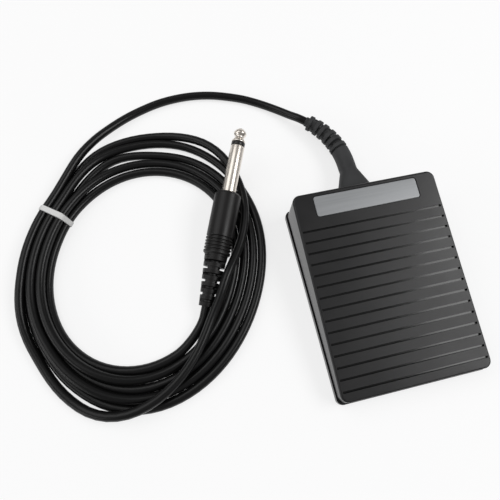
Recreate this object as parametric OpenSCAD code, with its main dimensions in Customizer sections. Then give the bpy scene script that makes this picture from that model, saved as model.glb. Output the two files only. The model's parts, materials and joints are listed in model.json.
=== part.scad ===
// Compact foot switch: a ribbed treadle hinged on a moulded base, with a coiled lead and a jack plug.
// Millimetres, +Z up. X runs across the pedal, +Y points to the cable end.
// The origin is on the floor, under the middle of the pedal.

/* [Pedal outline] */
// Width of the treadle
pedal_w = 66; // [58:1:76]
// Length of the treadle, seen from above
pedal_l = 87; // [82:1:100]
// Height of the treadle's top face at the cable end
rear_h = 21.5; // [20:0.5:26]
// Height of the treadle's top face at the heel end
front_h = 9.5; // [9:0.25:11]
// Radius of the treadle's upright corners
corner_r = 3.4; // [2.5:0.1:5]
// Rounding of the rim round the top face
edge_r = 0.9; // [0.5:0.1:1.5]

/* [Treadle] */
// Thickness of the side walls
skirt_t = 2; // [1.6:0.1:2.4]
// Thickness of the ribbed top
top_t = 2.4; // [1.8:0.1:2.8]
// Distance between two grooves, along the slope
groove_pitch = 4.76; // [4:0.02:5.4]
// Number of cross grooves
groove_count = 15; // [10:1:15]
// Width of a groove
groove_w = 0.9; // [0.5:0.1:1.4]
// Depth of a groove
groove_d = 0.9; // [0.3:0.1:1]
// Flat margin between a groove's end and the side of the treadle
groove_margin = 1.2; // [1:0.1:4]
// Distance from the last groove to the heel edge, along the slope
groove_heel = 4.5; // [3:0.1:8]
// Angle through which the treadle can be pressed
press_angle = 1.5; // [1.2:0.05:2.4]

/* [Name plate] */
// Width of the plate
plate_w = 47.5; // [30:0.5:54]
// Depth of the plate, along the slope
plate_d = 9.1; // [6:0.1:9.5]
// Thickness of the plate
plate_t = 0.5; // [0.3:0.1:0.8]
// Clear gap round the plate in its recess
plate_fit = 0.25; // [0.1:0.05:0.4]
// How far the plate's face lies below the top face
plate_sink = 0.15; // [0:0.05:0.4]
// Corner radius of the plate
plate_r = 1.1; // [0.6:0.1:2]
// Distance from the treadle's cable-end edge to the plate, along the slope
plate_gap = 2; // [1.6:0.1:3]

/* [Base] */
// How far the base stands out beyond the treadle all round
base_lip = 0.5; // [0.2:0.1:1.5]
// Radius of the base's upright corners
base_corner_r = 2.6; // [1.5:0.1:4]
// Thickness of the floor
floor_t = 1.6; // [1.2:0.1:1.8]
// Height of the rim above the floor's underside
rim_h = 2.6; // [2.2:0.1:2.8]
// Thickness of the inner wall that stands inside the treadle
upstand_t = 1.4; // [1:0.1:1.6]
// Clearance between the inner wall and the treadle's side walls
upstand_gap = 0.8; // [0.6:0.05:1]
// Radius of a rubber foot
foot_r = 4.5; // [3:0.1:6]
// How far a foot stands out below the base
foot_h = 1; // [0.6:0.1:1.4]
// Depth of the pocket that holds a foot
foot_pocket = 0.6; // [0.3:0.1:0.8]

/* [Hinge and stops] */
// Radius of the steel hinge pin
pin_r = 1.5; // [1.2:0.1:1.6]
// Radial clearance of the treadle's lugs on the pin
pin_fit = 0.05; // [0.02:0.01:0.1]
// Distance from the heel edge to the hinge axis
hinge_inset = 8; // [7.6:0.1:10]
// Height of the hinge axis above the floor of the base
hinge_rise = 2.8; // [2.7:0.05:2.9]
// Wall round a hinge bore
lug_wall = 0.8; // [0.7:0.05:0.9]
// Thickness of a treadle lug
lug_t = 5; // [3:0.5:8]
// Thickness of a base ear
ear_t = 4; // [3:0.5:5]
// Side clearance between a lug and its ear
lug_gap = 0.3; // [0.2:0.05:0.6]
// Radius of a rubber stop pad
pad_r = 3; // [2:0.1:3.5]
// Height of a stop pad
pad_h = 3.6; // [2.5:0.1:4.5]
// Width of a retaining hook
hook_w = 6; // [4:0.5:8]
// Reach of a hook's barb
hook_barb = 1.3; // [1.1:0.1:1.6]

/* [Return springs] */
// Outside radius of a spring
spring_r = 4; // [3.6:0.1:4.6]
// Radius of the spring wire
wire_r = 0.4; // [0.3:0.05:0.5]
// Number of turns
spring_turns = 6; // [5:1:8]
// Distance of each spring from the middle
spring_x = 16; // [14:0.5:18]
// Distance of the springs from the hinge axis
spring_reach = 48; // [42:0.5:50]

/* [Switch] */
// Length of the switch body
switch_l = 12.8; // [12:0.1:14]
// Width of the switch body
switch_w = 5.8; // [5:0.1:6.4]
// Height of the switch body
switch_h = 6.5; // [6:0.1:6.8]
// Height of the switch above the floor of the base
switch_rise = 1.9; // [1.8:0.1:2.1]
// Distance of the switch from the base's inner wall at the cable end
switch_reach = 25.8; // [23.8:0.1:27.8]
// Radius of the two mounting screws
switch_screw_r = 1; // [0.8:0.1:1.1]
// Slope of the lever when it is up
lever_angle = 12; // [11:0.25:13]
// Length of the lever from its pivot
lever_l = 11.7; // [11:0.1:12.5]
// Thickness of the lever
lever_t = 0.35; // [0.25:0.05:0.4]

/* [Lead] */
// Radius of the lead
cord_r = 2; // [1.8:0.1:2.1]
// Height of the lead where it leaves the housing
exit_h = 7.5; // [7.3:0.1:8]
// Length of the straight part of the strain relief, from the base's inner wall
boot_straight = 21.3; // [19:0.1:23]
// Radius of the strain relief's bend
boot_bend = 36; // [32:0.5:44]
// Angle of the bend
boot_turn = 46; // [40:1:52]
// Radius of the round part of the strain relief
boot_r = 4.1; // [3.8:0.1:4.3]
// Radius of the strain relief at its thin end
boot_end_r = 3.45; // [3.1:0.05:3.7]
// Number of rings in the ladder
boot_rings = 6; // [4:1:7]
// Thickness of a ring
ring_t = 2.1; // [1.5:0.1:2.4]
// Width of the flare at the housing
flare_w = 16; // [12:0.5:18]
// Height of the flare at the housing
flare_h = 7.6; // [6.5:0.1:8]
// Distance from the pedal's middle to the place where the lead leaves
boot_x = 1.5; // [0:0.1:3]
// How far the strain relief dips towards its thin end
boot_dip = 2; // [1.5:0.1:2.2]

/* [Coil] */
// Clear distance that the loops keep, centre to centre, across the coil
loop_step = 4.86; // [4.7:0.02:5]
// Mean radius of the innermost loop
loop_r = 43.5; // [43:0.5:45]
// How much longer than wide the loops lie
loop_oval = 3.4; // [2.6:0.1:4]
// Height of the upper loops over the lower ones, where the coil is tied
loop_lift = 4.24; // [4:0.02:4.3]
// Rings of facets in one loop
loop_rings = 24; // [16:4:32]
// Width of the tie
tie_w = 2.6; // [1.5:0.1:4]
// Thickness of the tie
tie_t = 0.5; // [0.3:0.1:0.55]

/* [Plug] */
// Radius of the jack plug's shaft
jack_r = 3.175; // [3.175]
// Length of the shaft from the handle to its tip
jack_l = 31.6; // [31:0.1:32]
// Radius of the moulded handle
handle_r = 6; // [5.4:0.1:6.2]
// Length of the handle's smooth and grooved part
handle_l = 28.5; // [26:0.5:30]
// Length of the ladder at the handle's tail
tail_l = 22.9; // [20:0.1:24]
// Radius at the thin end of the ladder
tail_r = 3.2; // [2.9:0.1:3.4]
// Number of segments in the ladder
tail_segments = 4; // [3:1:5]
// Number of fine grip grooves
grip_count = 5; // [3:1:7]

/* [Hidden] */
$fn = 48;

black = "#2b2b2d";
soft_black = "#1d1d1f";
steel = "#c9c9c6";
eps = 0.01;

// Heights of the base, from the floor that the pedal stands on
base_z = foot_h;
floor_top = base_z + floor_t;
rim_top = base_z + rim_h;

// Places along the pedal
rear_y = pedal_l / 2;
heel_y = -pedal_l / 2;
slope = atan((rear_h - front_h) / pedal_l);
hinge_y = heel_y + hinge_inset;
hinge_z = floor_top + hinge_rise;

// The top face's height above a place along Y, and the underside's
function top_z(y) = front_h + (y - heel_y) * tan(slope);
function under_z(y) = top_z(y) - top_t / cos(slope);
// How far the treadle sinks at a place along Y when it is fully pressed
function drop(y) = (y - hinge_y) * sin(press_angle);

// The side walls end above the rim, in a gap that closes evenly as the treadle goes down
skirt_gap = 0.45;
function skirt_z(y) = rim_top + skirt_gap + max(0, drop(y));
lug_r = pin_r + lug_wall;
up_play = 0.15;

// The inner wall of the base
up_w = pedal_w - 2 * (skirt_t + upstand_gap);
up_l = pedal_l - 2 * (skirt_t + upstand_gap);
up_rear = up_l / 2;
up_inner_y = up_rear - upstand_t;
up_inner_x = up_w / 2 - upstand_t;

// Hinge: base ears stand just inside the inner wall, the treadle's lugs just inside the ears
ear_x = up_inner_x - 0.6 - ear_t / 2;
lug_x = ear_x - ear_t / 2 - lug_gap - lug_t / 2;
pin_l = 2 * (ear_x + ear_t / 2);

// Rubber feet, stop pads and hooks keep to the corners
foot_x = pedal_w / 2 - 8;
foot_y = pedal_l / 2 - 8;
pad_x = up_inner_x - pad_r - 1;
pad_y = up_inner_y - pad_r - 4;
pad_top = floor_top + pad_h;
hook_x = up_inner_x - pad_r * 2 - hook_w / 2 - 3;
hook_t = 1.6;
catch_z = floor_top + 5.4;
catch_t = 1.6;
catch_reach = hook_barb + 1;
hook_gap = 0.4;
hook_y = up_inner_y - catch_reach - hook_gap;

// Return springs
spring_y = hinge_y + spring_reach;
spring_top = under_z(spring_y - spring_r) - 0.6;
spigot_r = spring_r - 2 * wire_r - 0.4;
spigot_h = 2;

// Switch, its lever and the rib that presses it
switch_y = up_inner_y - switch_reach;
switch_z = floor_top + switch_rise;
switch_top = switch_z + switch_h;
pivot_y = switch_y + 0.8;
pivot_z = switch_top + 0.9;
plunger_y = pivot_y + 4;
lever_pin_r = 0.4;
ear_w = 0.8;
lever_under = pivot_z - lever_t / 2;
lever_tip_y = pivot_y + lever_l * cos(lever_angle);
lever_tip_z = pivot_z + lever_l * sin(lever_angle) + lever_t / 2 / cos(lever_angle);
plunger_top = lever_under + (plunger_y - pivot_y) * tan(lever_angle) - 0.08;
plunger_w = 2.6;
plunger_t = 1.3;
rib_w = 5;
rib_t = 1.4;
rib_y = lever_tip_y - 0.9;
rib_z = lever_tip_z + 0.15;
bracket_t = 2;
bracket_x = -switch_w / 2 - bracket_t;
screw_spacing = switch_l / 2 + 0.1;
screw_z = switch_z + 1.9;
terminal_pitch = switch_l * 0.4;
terminal_l = 1.5;

// Cable clamp
clamp_y = up_inner_y - 5.4;
clamp_l = 5;
clamp_w = 19;
clamp_t = 1.6;
clamp_screw_x = clamp_w / 2 - 3;
clamp_screw_r = 1.15;
cradle_top = exit_h;

// Strain relief: a flange inside, a neck through the wall, a flare and a bent ladder
flange_t = 2;
flange_grow = 1.6;
flare_l = 16.5;
boot_arc = boot_bend * boot_turn * PI / 180;
ladder_start = 7.5;
ring_pitch = (boot_arc - ladder_start) / (boot_rings - 0.5);
boot_core_r = cord_r + 0.7;
boot_y = up_rear;

// The place and heading of a point on the strain relief's bend, a distance s along it
function boot_heading(s) = s / boot_arc * boot_turn;
function boot_plan(s) = [
  boot_x - boot_bend * (1 - cos(boot_heading(s))),
  boot_y + boot_straight + boot_bend * sin(boot_heading(s))
];
function dip(p) = [p[0], boot_y + (p[1] - boot_y) * cos(boot_dip), exit_h - (p[1] - boot_y) * sin(boot_dip)];
boot_end = dip(boot_plan(boot_arc));
boot_dir = [-sin(boot_turn), cos(boot_turn) * cos(boot_dip), -cos(boot_turn) * sin(boot_dip)];

// Jack plug: a point at the tail, and the way that the plug points
plug_tail = [-78, 8, 4];
plug_azimuth = 67;
plug_rise = 9.6;
plug_dir = [cos(plug_rise) * cos(plug_azimuth), cos(plug_rise) * sin(plug_azimuth), sin(plug_rise)];
shoulder = tail_l + handle_l;

// --- Coil -----------------------------------------------------------------------------------
// The loops are one spiral that runs inward. An angle counts on without end, 360 to a loop, from
// the tie's side. Where the coil is tied, every second loop lies in the upper layer, in the
// hollow between its neighbours, and where the loops lie loose they are side by side.
coil_mid = [-100, 35.5];
coil_from = 134;
coil_to = 2054;
coil_last = 1800;
tie_angle = 142;
lead_end_angle = 300;
over_end_angle = 440;
lone_out = 1.2;
slit_out = 1.2;
cross_in = 4.2;
tie_lift = tie_t + 0.1;
lift_from = 72;
lift_full = 66;
lift_ends = 138;
lift_gone = 206;
lift_rest = 0.5;
rest_ends = 162;
rest_gone = 214;
tail_pull = 0.8;
pull_in = 1.2;
flat_in = -1;
cross_from = 240;
cross_to = 320;
back_from = 340;
back_to = 420;
fall_from = 392;
fall_to = 430;

function ramp(a, b, x) =
  let (t = min(1, max(0, (x - a) / (b - a))))
  t * t * (3 - 2 * t);
function turned(x) = x - 360 * floor(x / 360);
function swell(x, mid, spread) =
  let (d = turned(x - mid + 180) - 180)
  exp(-(d / spread) * (d / spread));
function lift_at(x) =
  let (u = turned(x - lift_from))
  loop_lift * ramp(0, lift_full, u)
  * (1 - (1 - lift_rest) * ramp(lift_ends, lift_gone, u) - lift_rest * ramp(rest_ends, rest_gone, u));
function side_step(x) = sqrt(loop_step * loop_step - lift_at(x) * lift_at(x));
function ring_r(x) =
  loop_r + 2.2 * cos(x + 128) + loop_oval * cos(2 * (x - 64)) + 0.6 * cos(3 * (x - 19))
  - pull_in * swell(x, tie_angle, 34) - flat_in * swell(x, 258, 40);
function loop_no(x) = (coil_last - x) / 360;
function is_upper(x) = floor((x - 20) / 360) % 2 == 0 ? 1 : 0;
function slit(x, n) = slit_out * swell(x, 84, 24) * ramp(1.4, 2.4, n);
// The first loop leaves the tie in the upper layer, lies alone on the floor, then crosses over
function first_rise(x) = x < lead_end_angle ? lift_at(x) * (1 - ramp(176, 222, x)) : 0;
function over_rise(x) =
  (loop_step + (x < over_end_angle ? lift_at(x) : 0)) * (ramp(236, 266, x) - ramp(fall_from, fall_to, x));
function beside(x) =
  loop_no(x + 360) * side_step(x) + (x > 100 ? slit(x, loop_no(x + 360)) : 0)
  + sqrt(max(0, loop_step * loop_step - first_rise(x) * first_rise(x)))
  + lone_out * ramp(196, 236, x) * (1 - ramp(238, 280, x));
function first_out(x) = beside(x) + (cross_in - beside(x)) * (ramp(cross_from, cross_to, x) - ramp(back_from, back_to, x));
function coil_out(x) =
  x < over_end_angle ? first_out(x) : loop_no(x) * side_step(x) + slit(x, loop_no(x));
function coil_z(x) =
  cord_r + 0.03 + first_rise(x) + over_rise(x) + (x >= over_end_angle ? is_upper(x) * lift_at(x) : 0)
  + tie_lift * swell(x, tie_angle, 16);
function coil_point(x) =
  let (r = ring_r(x) + coil_out(x))
  [coil_mid[0] + r * cos(x), coil_mid[1] + r * sin(x), coil_z(x)];

loops = (coil_to - coil_from) / 360;
coil_steps = round(loops * loop_rings);
spiral = [for (i = [0:coil_steps]) coil_point(coil_from + (coil_to - coil_from) * i / coil_steps)];
spiral_end = spiral[coil_steps];
spiral_dir = unit(spiral_end - coil_point(coil_to - 2));
// From the innermost loop the lead turns up into the plug's tail, and runs straight into it
run_in = plug_tail - plug_dir * 2 * cord_r;
run_len = norm(run_in - spiral_end);
function bend_to(t) =
  (2 * t * t * t - 3 * t * t + 1) * spiral_end + (t * t * t - 2 * t * t + t) * tail_pull * run_len * spiral_dir
  + (3 * t * t - 2 * t * t * t) * run_in + (t * t * t - t * t) * tail_pull * run_len * plug_dir;
tail_steps = 6;
coil_start_dir = unit(coil_point(coil_from + 2) - spiral[0]);
coil_start = spiral[0] - coil_start_dir * 2 * cord_r;
coil_path = concat([coil_start], spiral, [for (i = [1:tail_steps]) bend_to(i / tail_steps)], [plug_tail]);

// The least clear gap between two places of the coil that are a quarter loop or more apart
function gap_from(i) = min([for (j = [i + 6:len(coil_path) - 2]) min(
  gap_to_segment(coil_path[i], coil_path[j], coil_path[j + 1]),
  gap_to_segment(coil_path[j], coil_path[i], coil_path[i + 1])
)]);
function gap_to_segment(p, a, b) =
  let (ab = b - a, q = ab * ab, t = q == 0 ? 0 : min(1, max(0, (p - a) * ab / q)))
  norm(p - a - t * ab) - 2 * cord_r;
least_gap = min([for (i = [0:len(coil_path) - 8]) gap_from(i)]);
function path_length(p) = len(p) < 2 ? 0 : let (d = [for (i = [1:len(p) - 1]) norm(p[i] - p[i - 1])])
  d * [for (i = [1:len(p) - 1]) 1];
echo(least_gap = least_gap, coil_length = path_length(coil_path), lead_length = path_length(lead_path));

// The free lead, from the strain relief across the floor to the coil
lead_path = concat(
  [boot_end, boot_end + boot_dir * 2 * cord_r],
  [
    [-17.5, 95.6, 4.2], [-23.5, 101.3, 2.8], [-30.5, 106.5, 2.2], [-38, 110.8, 2.1],
    [-46, 114, 2.1], [-54.5, 116.5, 2.1], [-63.5, 117.8, 2.1], [-72.5, 117.8, 2.1], [-81.5, 116.6, 2.1],
    [-90, 114.2, 2.1], [-98.5, 110.8, 2.3], [-106.8, 106, 3], [-114.4, 100.2, 4.2], [-121.5, 93, 5.3]
  ],
  [coil_start - coil_start_dir * 2 * cord_r, coil_start]
);

// --- Helpers --------------------------------------------------------------------------------
function unit(v) = v / norm(v);
function cross_up(d) = unit(cross([0, 0, 1], d));

// A tube swept along points, with triangles for faces
module tube(path, radius, sides) {
  last = len(path) - 1;
  heading = [for (i = [0:last]) unit(path[min(i + 1, last)] - path[max(i - 1, 0)])];
  points = [
    for (i = [0:last])
      let (side = cross_up(heading[i]), up = cross(heading[i], side))
      for (k = [0:sides - 1])
        let (a = (k + 0.5) * 360 / sides)
        path[i] + radius * (cos(a) * side + sin(a) * up)
  ];
  first_cap = [for (k = [1:sides - 2]) [0, k, k + 1]];
  last_cap = [for (k = [1:sides - 2]) [last * sides, last * sides + k + 1, last * sides + k]];
  skin = [
    for (i = [0:last - 1])
      for (k = [0:sides - 1])
        let (a = i * sides + k, b = i * sides + (k + 1) % sides)
        for (face = [[a, a + sides, b], [b, a + sides, b + sides]]) face
  ];
  polyhedron(points, concat(first_cap, last_cap, skin), convexity = 10);
}

// An upright block with true round corners
module round_block(w, l, h, r) {
  translate([-w / 2 + r, -l / 2, 0]) cube([w - 2 * r, l, h]);
  translate([-w / 2, -l / 2 + r, 0]) cube([w, l - 2 * r, h]);
  for (x = [-1, 1])
    for (y = [-1, 1])
      translate([x * (w / 2 - r), y * (l / 2 - r), 0]) cylinder(r = r, h = h);
}

// A side profile, given in Y and Z, spread evenly across the pedal
module across(w) {
  translate([-w / 2, 0, 0]) rotate([90, 0, 90]) linear_extrude(w) children();
}

module at_both(x, y, z) {
  for (s = [-1, 1]) translate([s * x, y, z]) children();
}

// Things drawn flat, laid on the treadle's slope at its cable-end edge, with -Y running downhill
module on_slope() {
  translate([0, rear_y, rear_h]) rotate([slope, 0, 0]) children();
}

// The other way round: things drawn upright, seen from the slope
module off_slope() {
  rotate([-slope, 0, 0]) translate([0, -rear_y, -rear_h]) children();
}

module countersunk(r, l) {
  translate([0, 0, -l]) cylinder(r = r, h = l);
  difference() {
    cylinder(r = r * 1.9, h = r * 1.1);
    translate([-r * 2, -r * 0.22, r * 0.6]) cube([r * 4, r * 0.44, r]);
  }
}

// --- Base -----------------------------------------------------------------------------------
module base_shell() {
  difference() {
    translate([0, 0, base_z]) round_block(pedal_w + 2 * base_lip, pedal_l + 2 * base_lip, rim_h, base_corner_r);
    translate([0, 0, floor_top]) round_block(up_w - eps, up_l - eps, rim_h, 1);
    rim_channel();
    for (y = [-foot_y, foot_y]) at_both(foot_x, y, base_z - eps) cylinder(r = foot_r, h = foot_pocket + eps);
  }
}

// A shallow channel between the rim and the inner wall keeps the rim a thin lip
module rim_channel() {
  difference() {
    translate([0, 0, floor_top])
      round_block(pedal_w - 2 * skirt_t / 2, pedal_l - 2 * skirt_t / 2, rim_h, base_corner_r - 0.4);
    translate([0, 0, floor_top - 1]) round_block(up_w, up_l, rim_h + 2, 1);
  }
}

// The inner wall follows the treadle's underside and is cut open for the lead
module upstand() {
  difference() {
    intersection() {
      translate([0, 0, floor_top - eps]) round_block(up_w, up_l, rear_h, 1);
      across(pedal_w) polygon([
        [heel_y, 0], [rear_y, 0],
        [rear_y, under_z(rear_y) - drop(rear_y) - 1.2], [heel_y, under_z(heel_y) - 1.2]
      ]);
    }
    translate([0, 0, floor_top - 1]) round_block(up_w - 2 * upstand_t, up_l - 2 * upstand_t, rear_h, 0.6);
    boot_slot();
  }
}

// The slot that grips the strain relief's neck, open at the top
module boot_slot() {
  translate([boot_x, up_rear - upstand_t / 2, 0]) {
    translate([-neck_w / 2, -upstand_t, exit_h - neck_h / 2]) cube([neck_w, 2 * upstand_t, rear_h]);
  }
}
neck_w = flare_w - 4;
neck_h = flare_h - 1.4;

module base_ears() {
  at_both(ear_x, hinge_y, hinge_z) rotate([0, 90, 0]) difference() {
    union() {
      cylinder(r = lug_r, h = ear_t, center = true);
      translate([0, -lug_r, -ear_t / 2]) cube([hinge_z - floor_top + eps, 2 * lug_r, ear_t]);
    }
    cylinder(r = pin_r, h = ear_t + 1, center = true);
  }
}

// Ledges that the treadle's hooks catch under, so that the springs can't push it off
module catches() {
  at_both(hook_x, 0, catch_z)
    translate([-hook_w / 2 - 1, up_inner_y - catch_reach, 0]) cube([hook_w + 2, catch_reach + eps, catch_t]);
}

module switch_bracket() {
  difference() {
    translate([bracket_x, switch_y, floor_top - eps]) cube([bracket_t, switch_l, switch_rise + 4.4]);
    for (i = [0, 1])
      translate([bracket_x - 1, switch_y + (switch_l - screw_spacing) / 2 + i * screw_spacing, screw_z])
        rotate([0, 90, 0]) cylinder(r = switch_screw_r, h = bracket_t + 2);
  }
}

module cradle() {
  difference() {
    translate([boot_x - clamp_w / 2, clamp_y - clamp_l / 2, floor_top - eps])
      cube([clamp_w, clamp_l, cradle_top - floor_top]);
    translate([boot_x, clamp_y, exit_h]) rotate([90, 0, 0]) cylinder(r = cord_r, h = clamp_l + 1, center = true);
    for (s = [-1, 1])
      translate([boot_x + s * clamp_screw_x, clamp_y, floor_top + 0.6]) cylinder(r = clamp_screw_r, h = cradle_top);
  }
}

module base_pan() {
  color(black) {
    difference() {
      union() {
        base_shell();
        upstand();
        base_ears();
        catches();
        switch_bracket();
        cradle();
        at_both(spring_x, spring_y, floor_top - eps) cylinder(r = spigot_r, h = spigot_h);
      }
      at_both(pad_x, pad_y, floor_top - 0.5) cylinder(r = pad_r, h = 1);
    }
  }
}

module rubber_feet() {
  color(soft_black)
    for (y = [-foot_y, foot_y])
      at_both(foot_x, y, 0)
        rotate_extrude() polygon([
          [0, 0], [foot_r - 0.5, 0], [foot_r, 0.5], [foot_r, foot_h + foot_pocket], [0, foot_h + foot_pocket]
        ]);
}

module hinge_pin() {
  color(steel) translate([0, hinge_y, hinge_z]) rotate([0, 90, 0]) cylinder(r = pin_r, h = pin_l, center = true);
}

module stop_pads() {
  color(soft_black) at_both(pad_x, pad_y, floor_top - 0.5) cylinder(r = pad_r, h = pad_h + 0.5);
}

// --- Treadle --------------------------------------------------------------------------------
// One rounded corner of the rim, under the plane of the top face
module rim_corner() {
  translate([0, 0, -edge_r]) rotate_extrude($fn = 32) translate([corner_r - edge_r, 0]) circle(r = edge_r, $fn = 16);
}

// The solid outline, in the slope's own frame, where the top face is level
module treadle_outside() {
  x = pedal_w / 2 - corner_r;
  y = pedal_l / 2 - corner_r;
  hull() {
    for (sy = [-1, 1]) {
      at_both(x, (sy * y - rear_y) / cos(slope), 0) rim_corner();
      off_slope() at_both(x, sy * y, rim_top) cylinder(r = corner_r, h = 1, $fn = 32);
    }
  }
}

module treadle_inside() {
  across(pedal_w - 2 * skirt_t) polygon([
    [heel_y + skirt_t, 0], [rear_y - skirt_t, 0],
    [rear_y - skirt_t, under_z(rear_y - skirt_t)], [heel_y + skirt_t, under_z(heel_y + skirt_t)]
  ]);
}

// Everything below the side walls' lower edge
module below_skirt() {
  across(pedal_w + 4) polygon([
    [heel_y - 2, -1], [rear_y + 2, -1], [rear_y + 2, skirt_z(rear_y)],
    [hinge_y, skirt_z(hinge_y)], [heel_y - 2, skirt_z(hinge_y)]
  ]);
}

module grooves() {
  slant = pedal_l / cos(slope);
  for (i = [0:groove_count - 1])
    translate([-pedal_w / 2 + groove_margin, -slant + groove_heel + i * groove_pitch - groove_w / 2, -groove_d])
      cube([pedal_w - 2 * groove_margin, groove_w, groove_d + 1]);
}

module plate_shape(h, grow) {
  translate([0, -plate_gap - plate_d / 2, 0]) round_block(plate_w + grow, plate_d + grow, h, plate_r + grow / 2);
}

module lugs() {
  for (s = [-1, 1])
    translate([s * lug_x, hinge_y, hinge_z]) rotate([0, 90, 0]) {
      cylinder(r = lug_r, h = lug_t, center = true);
      translate([-(under_z(hinge_y) - hinge_z) - 0.5, -lug_r, -lug_t / 2])
        cube([under_z(hinge_y) - hinge_z + 0.5, 2 * lug_r, lug_t]);
    }
}

module hooks() {
  tip_z = catch_z - up_play - hook_t;
  at_both(hook_x, hook_y - hook_t, 0) {
    translate([-hook_w / 2, 0, tip_z]) cube([hook_w, hook_t, under_z(hook_y - hook_t) - tip_z + 0.4]);
    translate([-hook_w / 2, 0, tip_z]) cube([hook_w, hook_t + hook_gap + hook_barb, hook_t]);
  }
}

module spring_seats() {
  at_both(spring_x, spring_y, spring_top) cylinder(r = spring_r + 0.6, h = under_z(spring_y) - spring_top + 0.6);
  at_both(spring_x, spring_y, spring_top - spigot_h) cylinder(r = spigot_r, h = spigot_h + 1);
}

module stop_bosses() {
  z = pad_top + drop(pad_y) + 0.2;
  at_both(pad_x, pad_y, z) cylinder(r = pad_r - 0.6, h = under_z(pad_y) - z + 0.4);
}

module switch_rib() {
  translate([-rib_w / 2, rib_y - rib_t / 2, rib_z]) cube([rib_w, rib_t, under_z(rib_y) - rib_z + 0.4]);
}

// The cable end is cut open over the strain relief, with room for the treadle to go down
module boot_notch() {
  top = exit_h + flare_h / 2 + drop(rear_y) + 0.5;
  w = flare_w + 2 * 0.9;
  translate([boot_x - w / 2, rear_y - skirt_t - 1, 0]) cube([w, skirt_t + 3, top]);
}

module treadle() {
  color(black) on_slope() {
    difference() {
      union() {
        difference() {
          treadle_outside();
          off_slope() {
            treadle_inside();
            below_skirt();
          }
        }
        off_slope() {
          lugs();
          hooks();
          spring_seats();
          stop_bosses();
          switch_rib();
        }
      }
      grooves();
      translate([0, 0, -plate_t - plate_sink]) plate_shape(3, 2 * plate_fit);
      off_slope() {
        boot_notch();
        translate([0, hinge_y, hinge_z]) rotate([0, 90, 0])
          cylinder(r = pin_r + pin_fit, h = pedal_w - 2 * skirt_t - 2, center = true);
      }
    }
  }
}

module label_plate() {
  color("#8f9294") on_slope() translate([0, 0, -plate_t - plate_sink]) plate_shape(plate_t, 0);
}

// --- Springs --------------------------------------------------------------------------------
// Closed, flat ends and open turns between them
module spring(x) {
  mid_r = spring_r - wire_r;
  h = spring_top - floor_top - 2 * wire_r - 0.03;
  steps = spring_turns * 8;
  path = [for (i = [0:steps])
    let (t = i / steps, rise = ramp(0.08, 0.92, t) * 0.35 + 0.65 * min(1, max(0, (t - 0.1) / 0.8)))
    [mid_r * cos(i * 45), mid_r * sin(i * 45), wire_r + h * rise]];
  translate([x, spring_y, floor_top]) tube(path, wire_r, 6);
}
module spring_left() { color(steel) spring(-spring_x); }
module spring_right() { color(steel) spring(spring_x); }

// --- Switch ---------------------------------------------------------------------------------
module switch_body() {
  color("#30343a") difference() {
    union() {
      translate([-switch_w / 2, switch_y, switch_z]) cube([switch_w, switch_l, switch_h]);
      for (s = [-1, 1])
        translate([s * (switch_w / 2 - ear_w / 2), pivot_y, 0]) {
          translate([0, 0, pivot_z]) rotate([0, 90, 0]) cylinder(r = 0.8, h = ear_w, center = true);
          translate([-ear_w / 2, -0.7, switch_top - 0.5]) cube([ear_w, 1.4, pivot_z - switch_top + 0.5]);
        }
    }
    for (i = [0, 1])
      translate([0, switch_y + (switch_l - screw_spacing) / 2 + i * screw_spacing, screw_z])
        rotate([0, 90, 0]) cylinder(r = switch_screw_r + 0.05, h = switch_w + 2, center = true);
    translate([-plunger_w / 2 - 0.05, plunger_y - plunger_t / 2 - 0.05, switch_top - 2.4])
      cube([plunger_w + 0.1, plunger_t + 0.1, 3]);
    translate([0, pivot_y, pivot_z]) rotate([0, 90, 0]) cylinder(r = lever_pin_r, h = switch_w + 2, center = true);
  }
}

module switch_terminals() {
  color("#c8a95a")
    for (i = [-1:1])
      translate([-0.25, switch_y + switch_l / 2 + i * terminal_pitch - 0.6, switch_z - terminal_l])
        difference() {
          cube([0.5, 1.2, terminal_l]);
          translate([-1, 0.6, 0.5]) rotate([0, 90, 0]) cylinder(r = 0.25, h = 3);
        }
}

module switch_screws() {
  color(steel)
    for (i = [0, 1])
      translate([switch_w / 2, switch_y + (switch_l - screw_spacing) / 2 + i * screw_spacing, screw_z])
        rotate([0, 90, 0]) countersunk(switch_screw_r, switch_w + bracket_t - 0.4);
}

module lever_pin() {
  color(steel) translate([0, pivot_y, pivot_z]) rotate([0, 90, 0])
    cylinder(r = lever_pin_r, h = switch_w - 0.2, center = true);
}

module switch_lever() {
  w = switch_w - 2 * ear_w - 0.3;
  color("#b9bdc2") difference() {
    union() {
      translate([0, pivot_y, pivot_z]) rotate([lever_angle, 0, 0])
        translate([-w / 2 + 0.2, lever_pin_r + 0.2, -lever_t / 2])
          cube([w - 0.4, lever_l - lever_pin_r - 0.2, lever_t]);
      translate([0, pivot_y, pivot_z]) rotate([0, 90, 0]) cylinder(r = lever_pin_r + 0.09 + 0.25, h = w, center = true);
    }
    translate([0, pivot_y, pivot_z]) rotate([0, 90, 0]) cylinder(r = lever_pin_r + 0.05, h = w + 1, center = true);
  }
}

module switch_plunger() {
  z = switch_top - 1.4;
  color("#b03a2e") translate([-plunger_w / 2, plunger_y - plunger_t / 2, z]) {
    cube([plunger_w, plunger_t, plunger_top - z - plunger_t / 2]);
    translate([0, plunger_t / 2, plunger_top - z - plunger_t / 2]) rotate([0, 90, 0])
      cylinder(r = plunger_t / 2, h = plunger_w);
  }
}

// --- Wiring and clamp -----------------------------------------------------------------------
jacket_end = clamp_y - clamp_l / 2 - 1.5;
insulation_r = 0.5;

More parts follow.
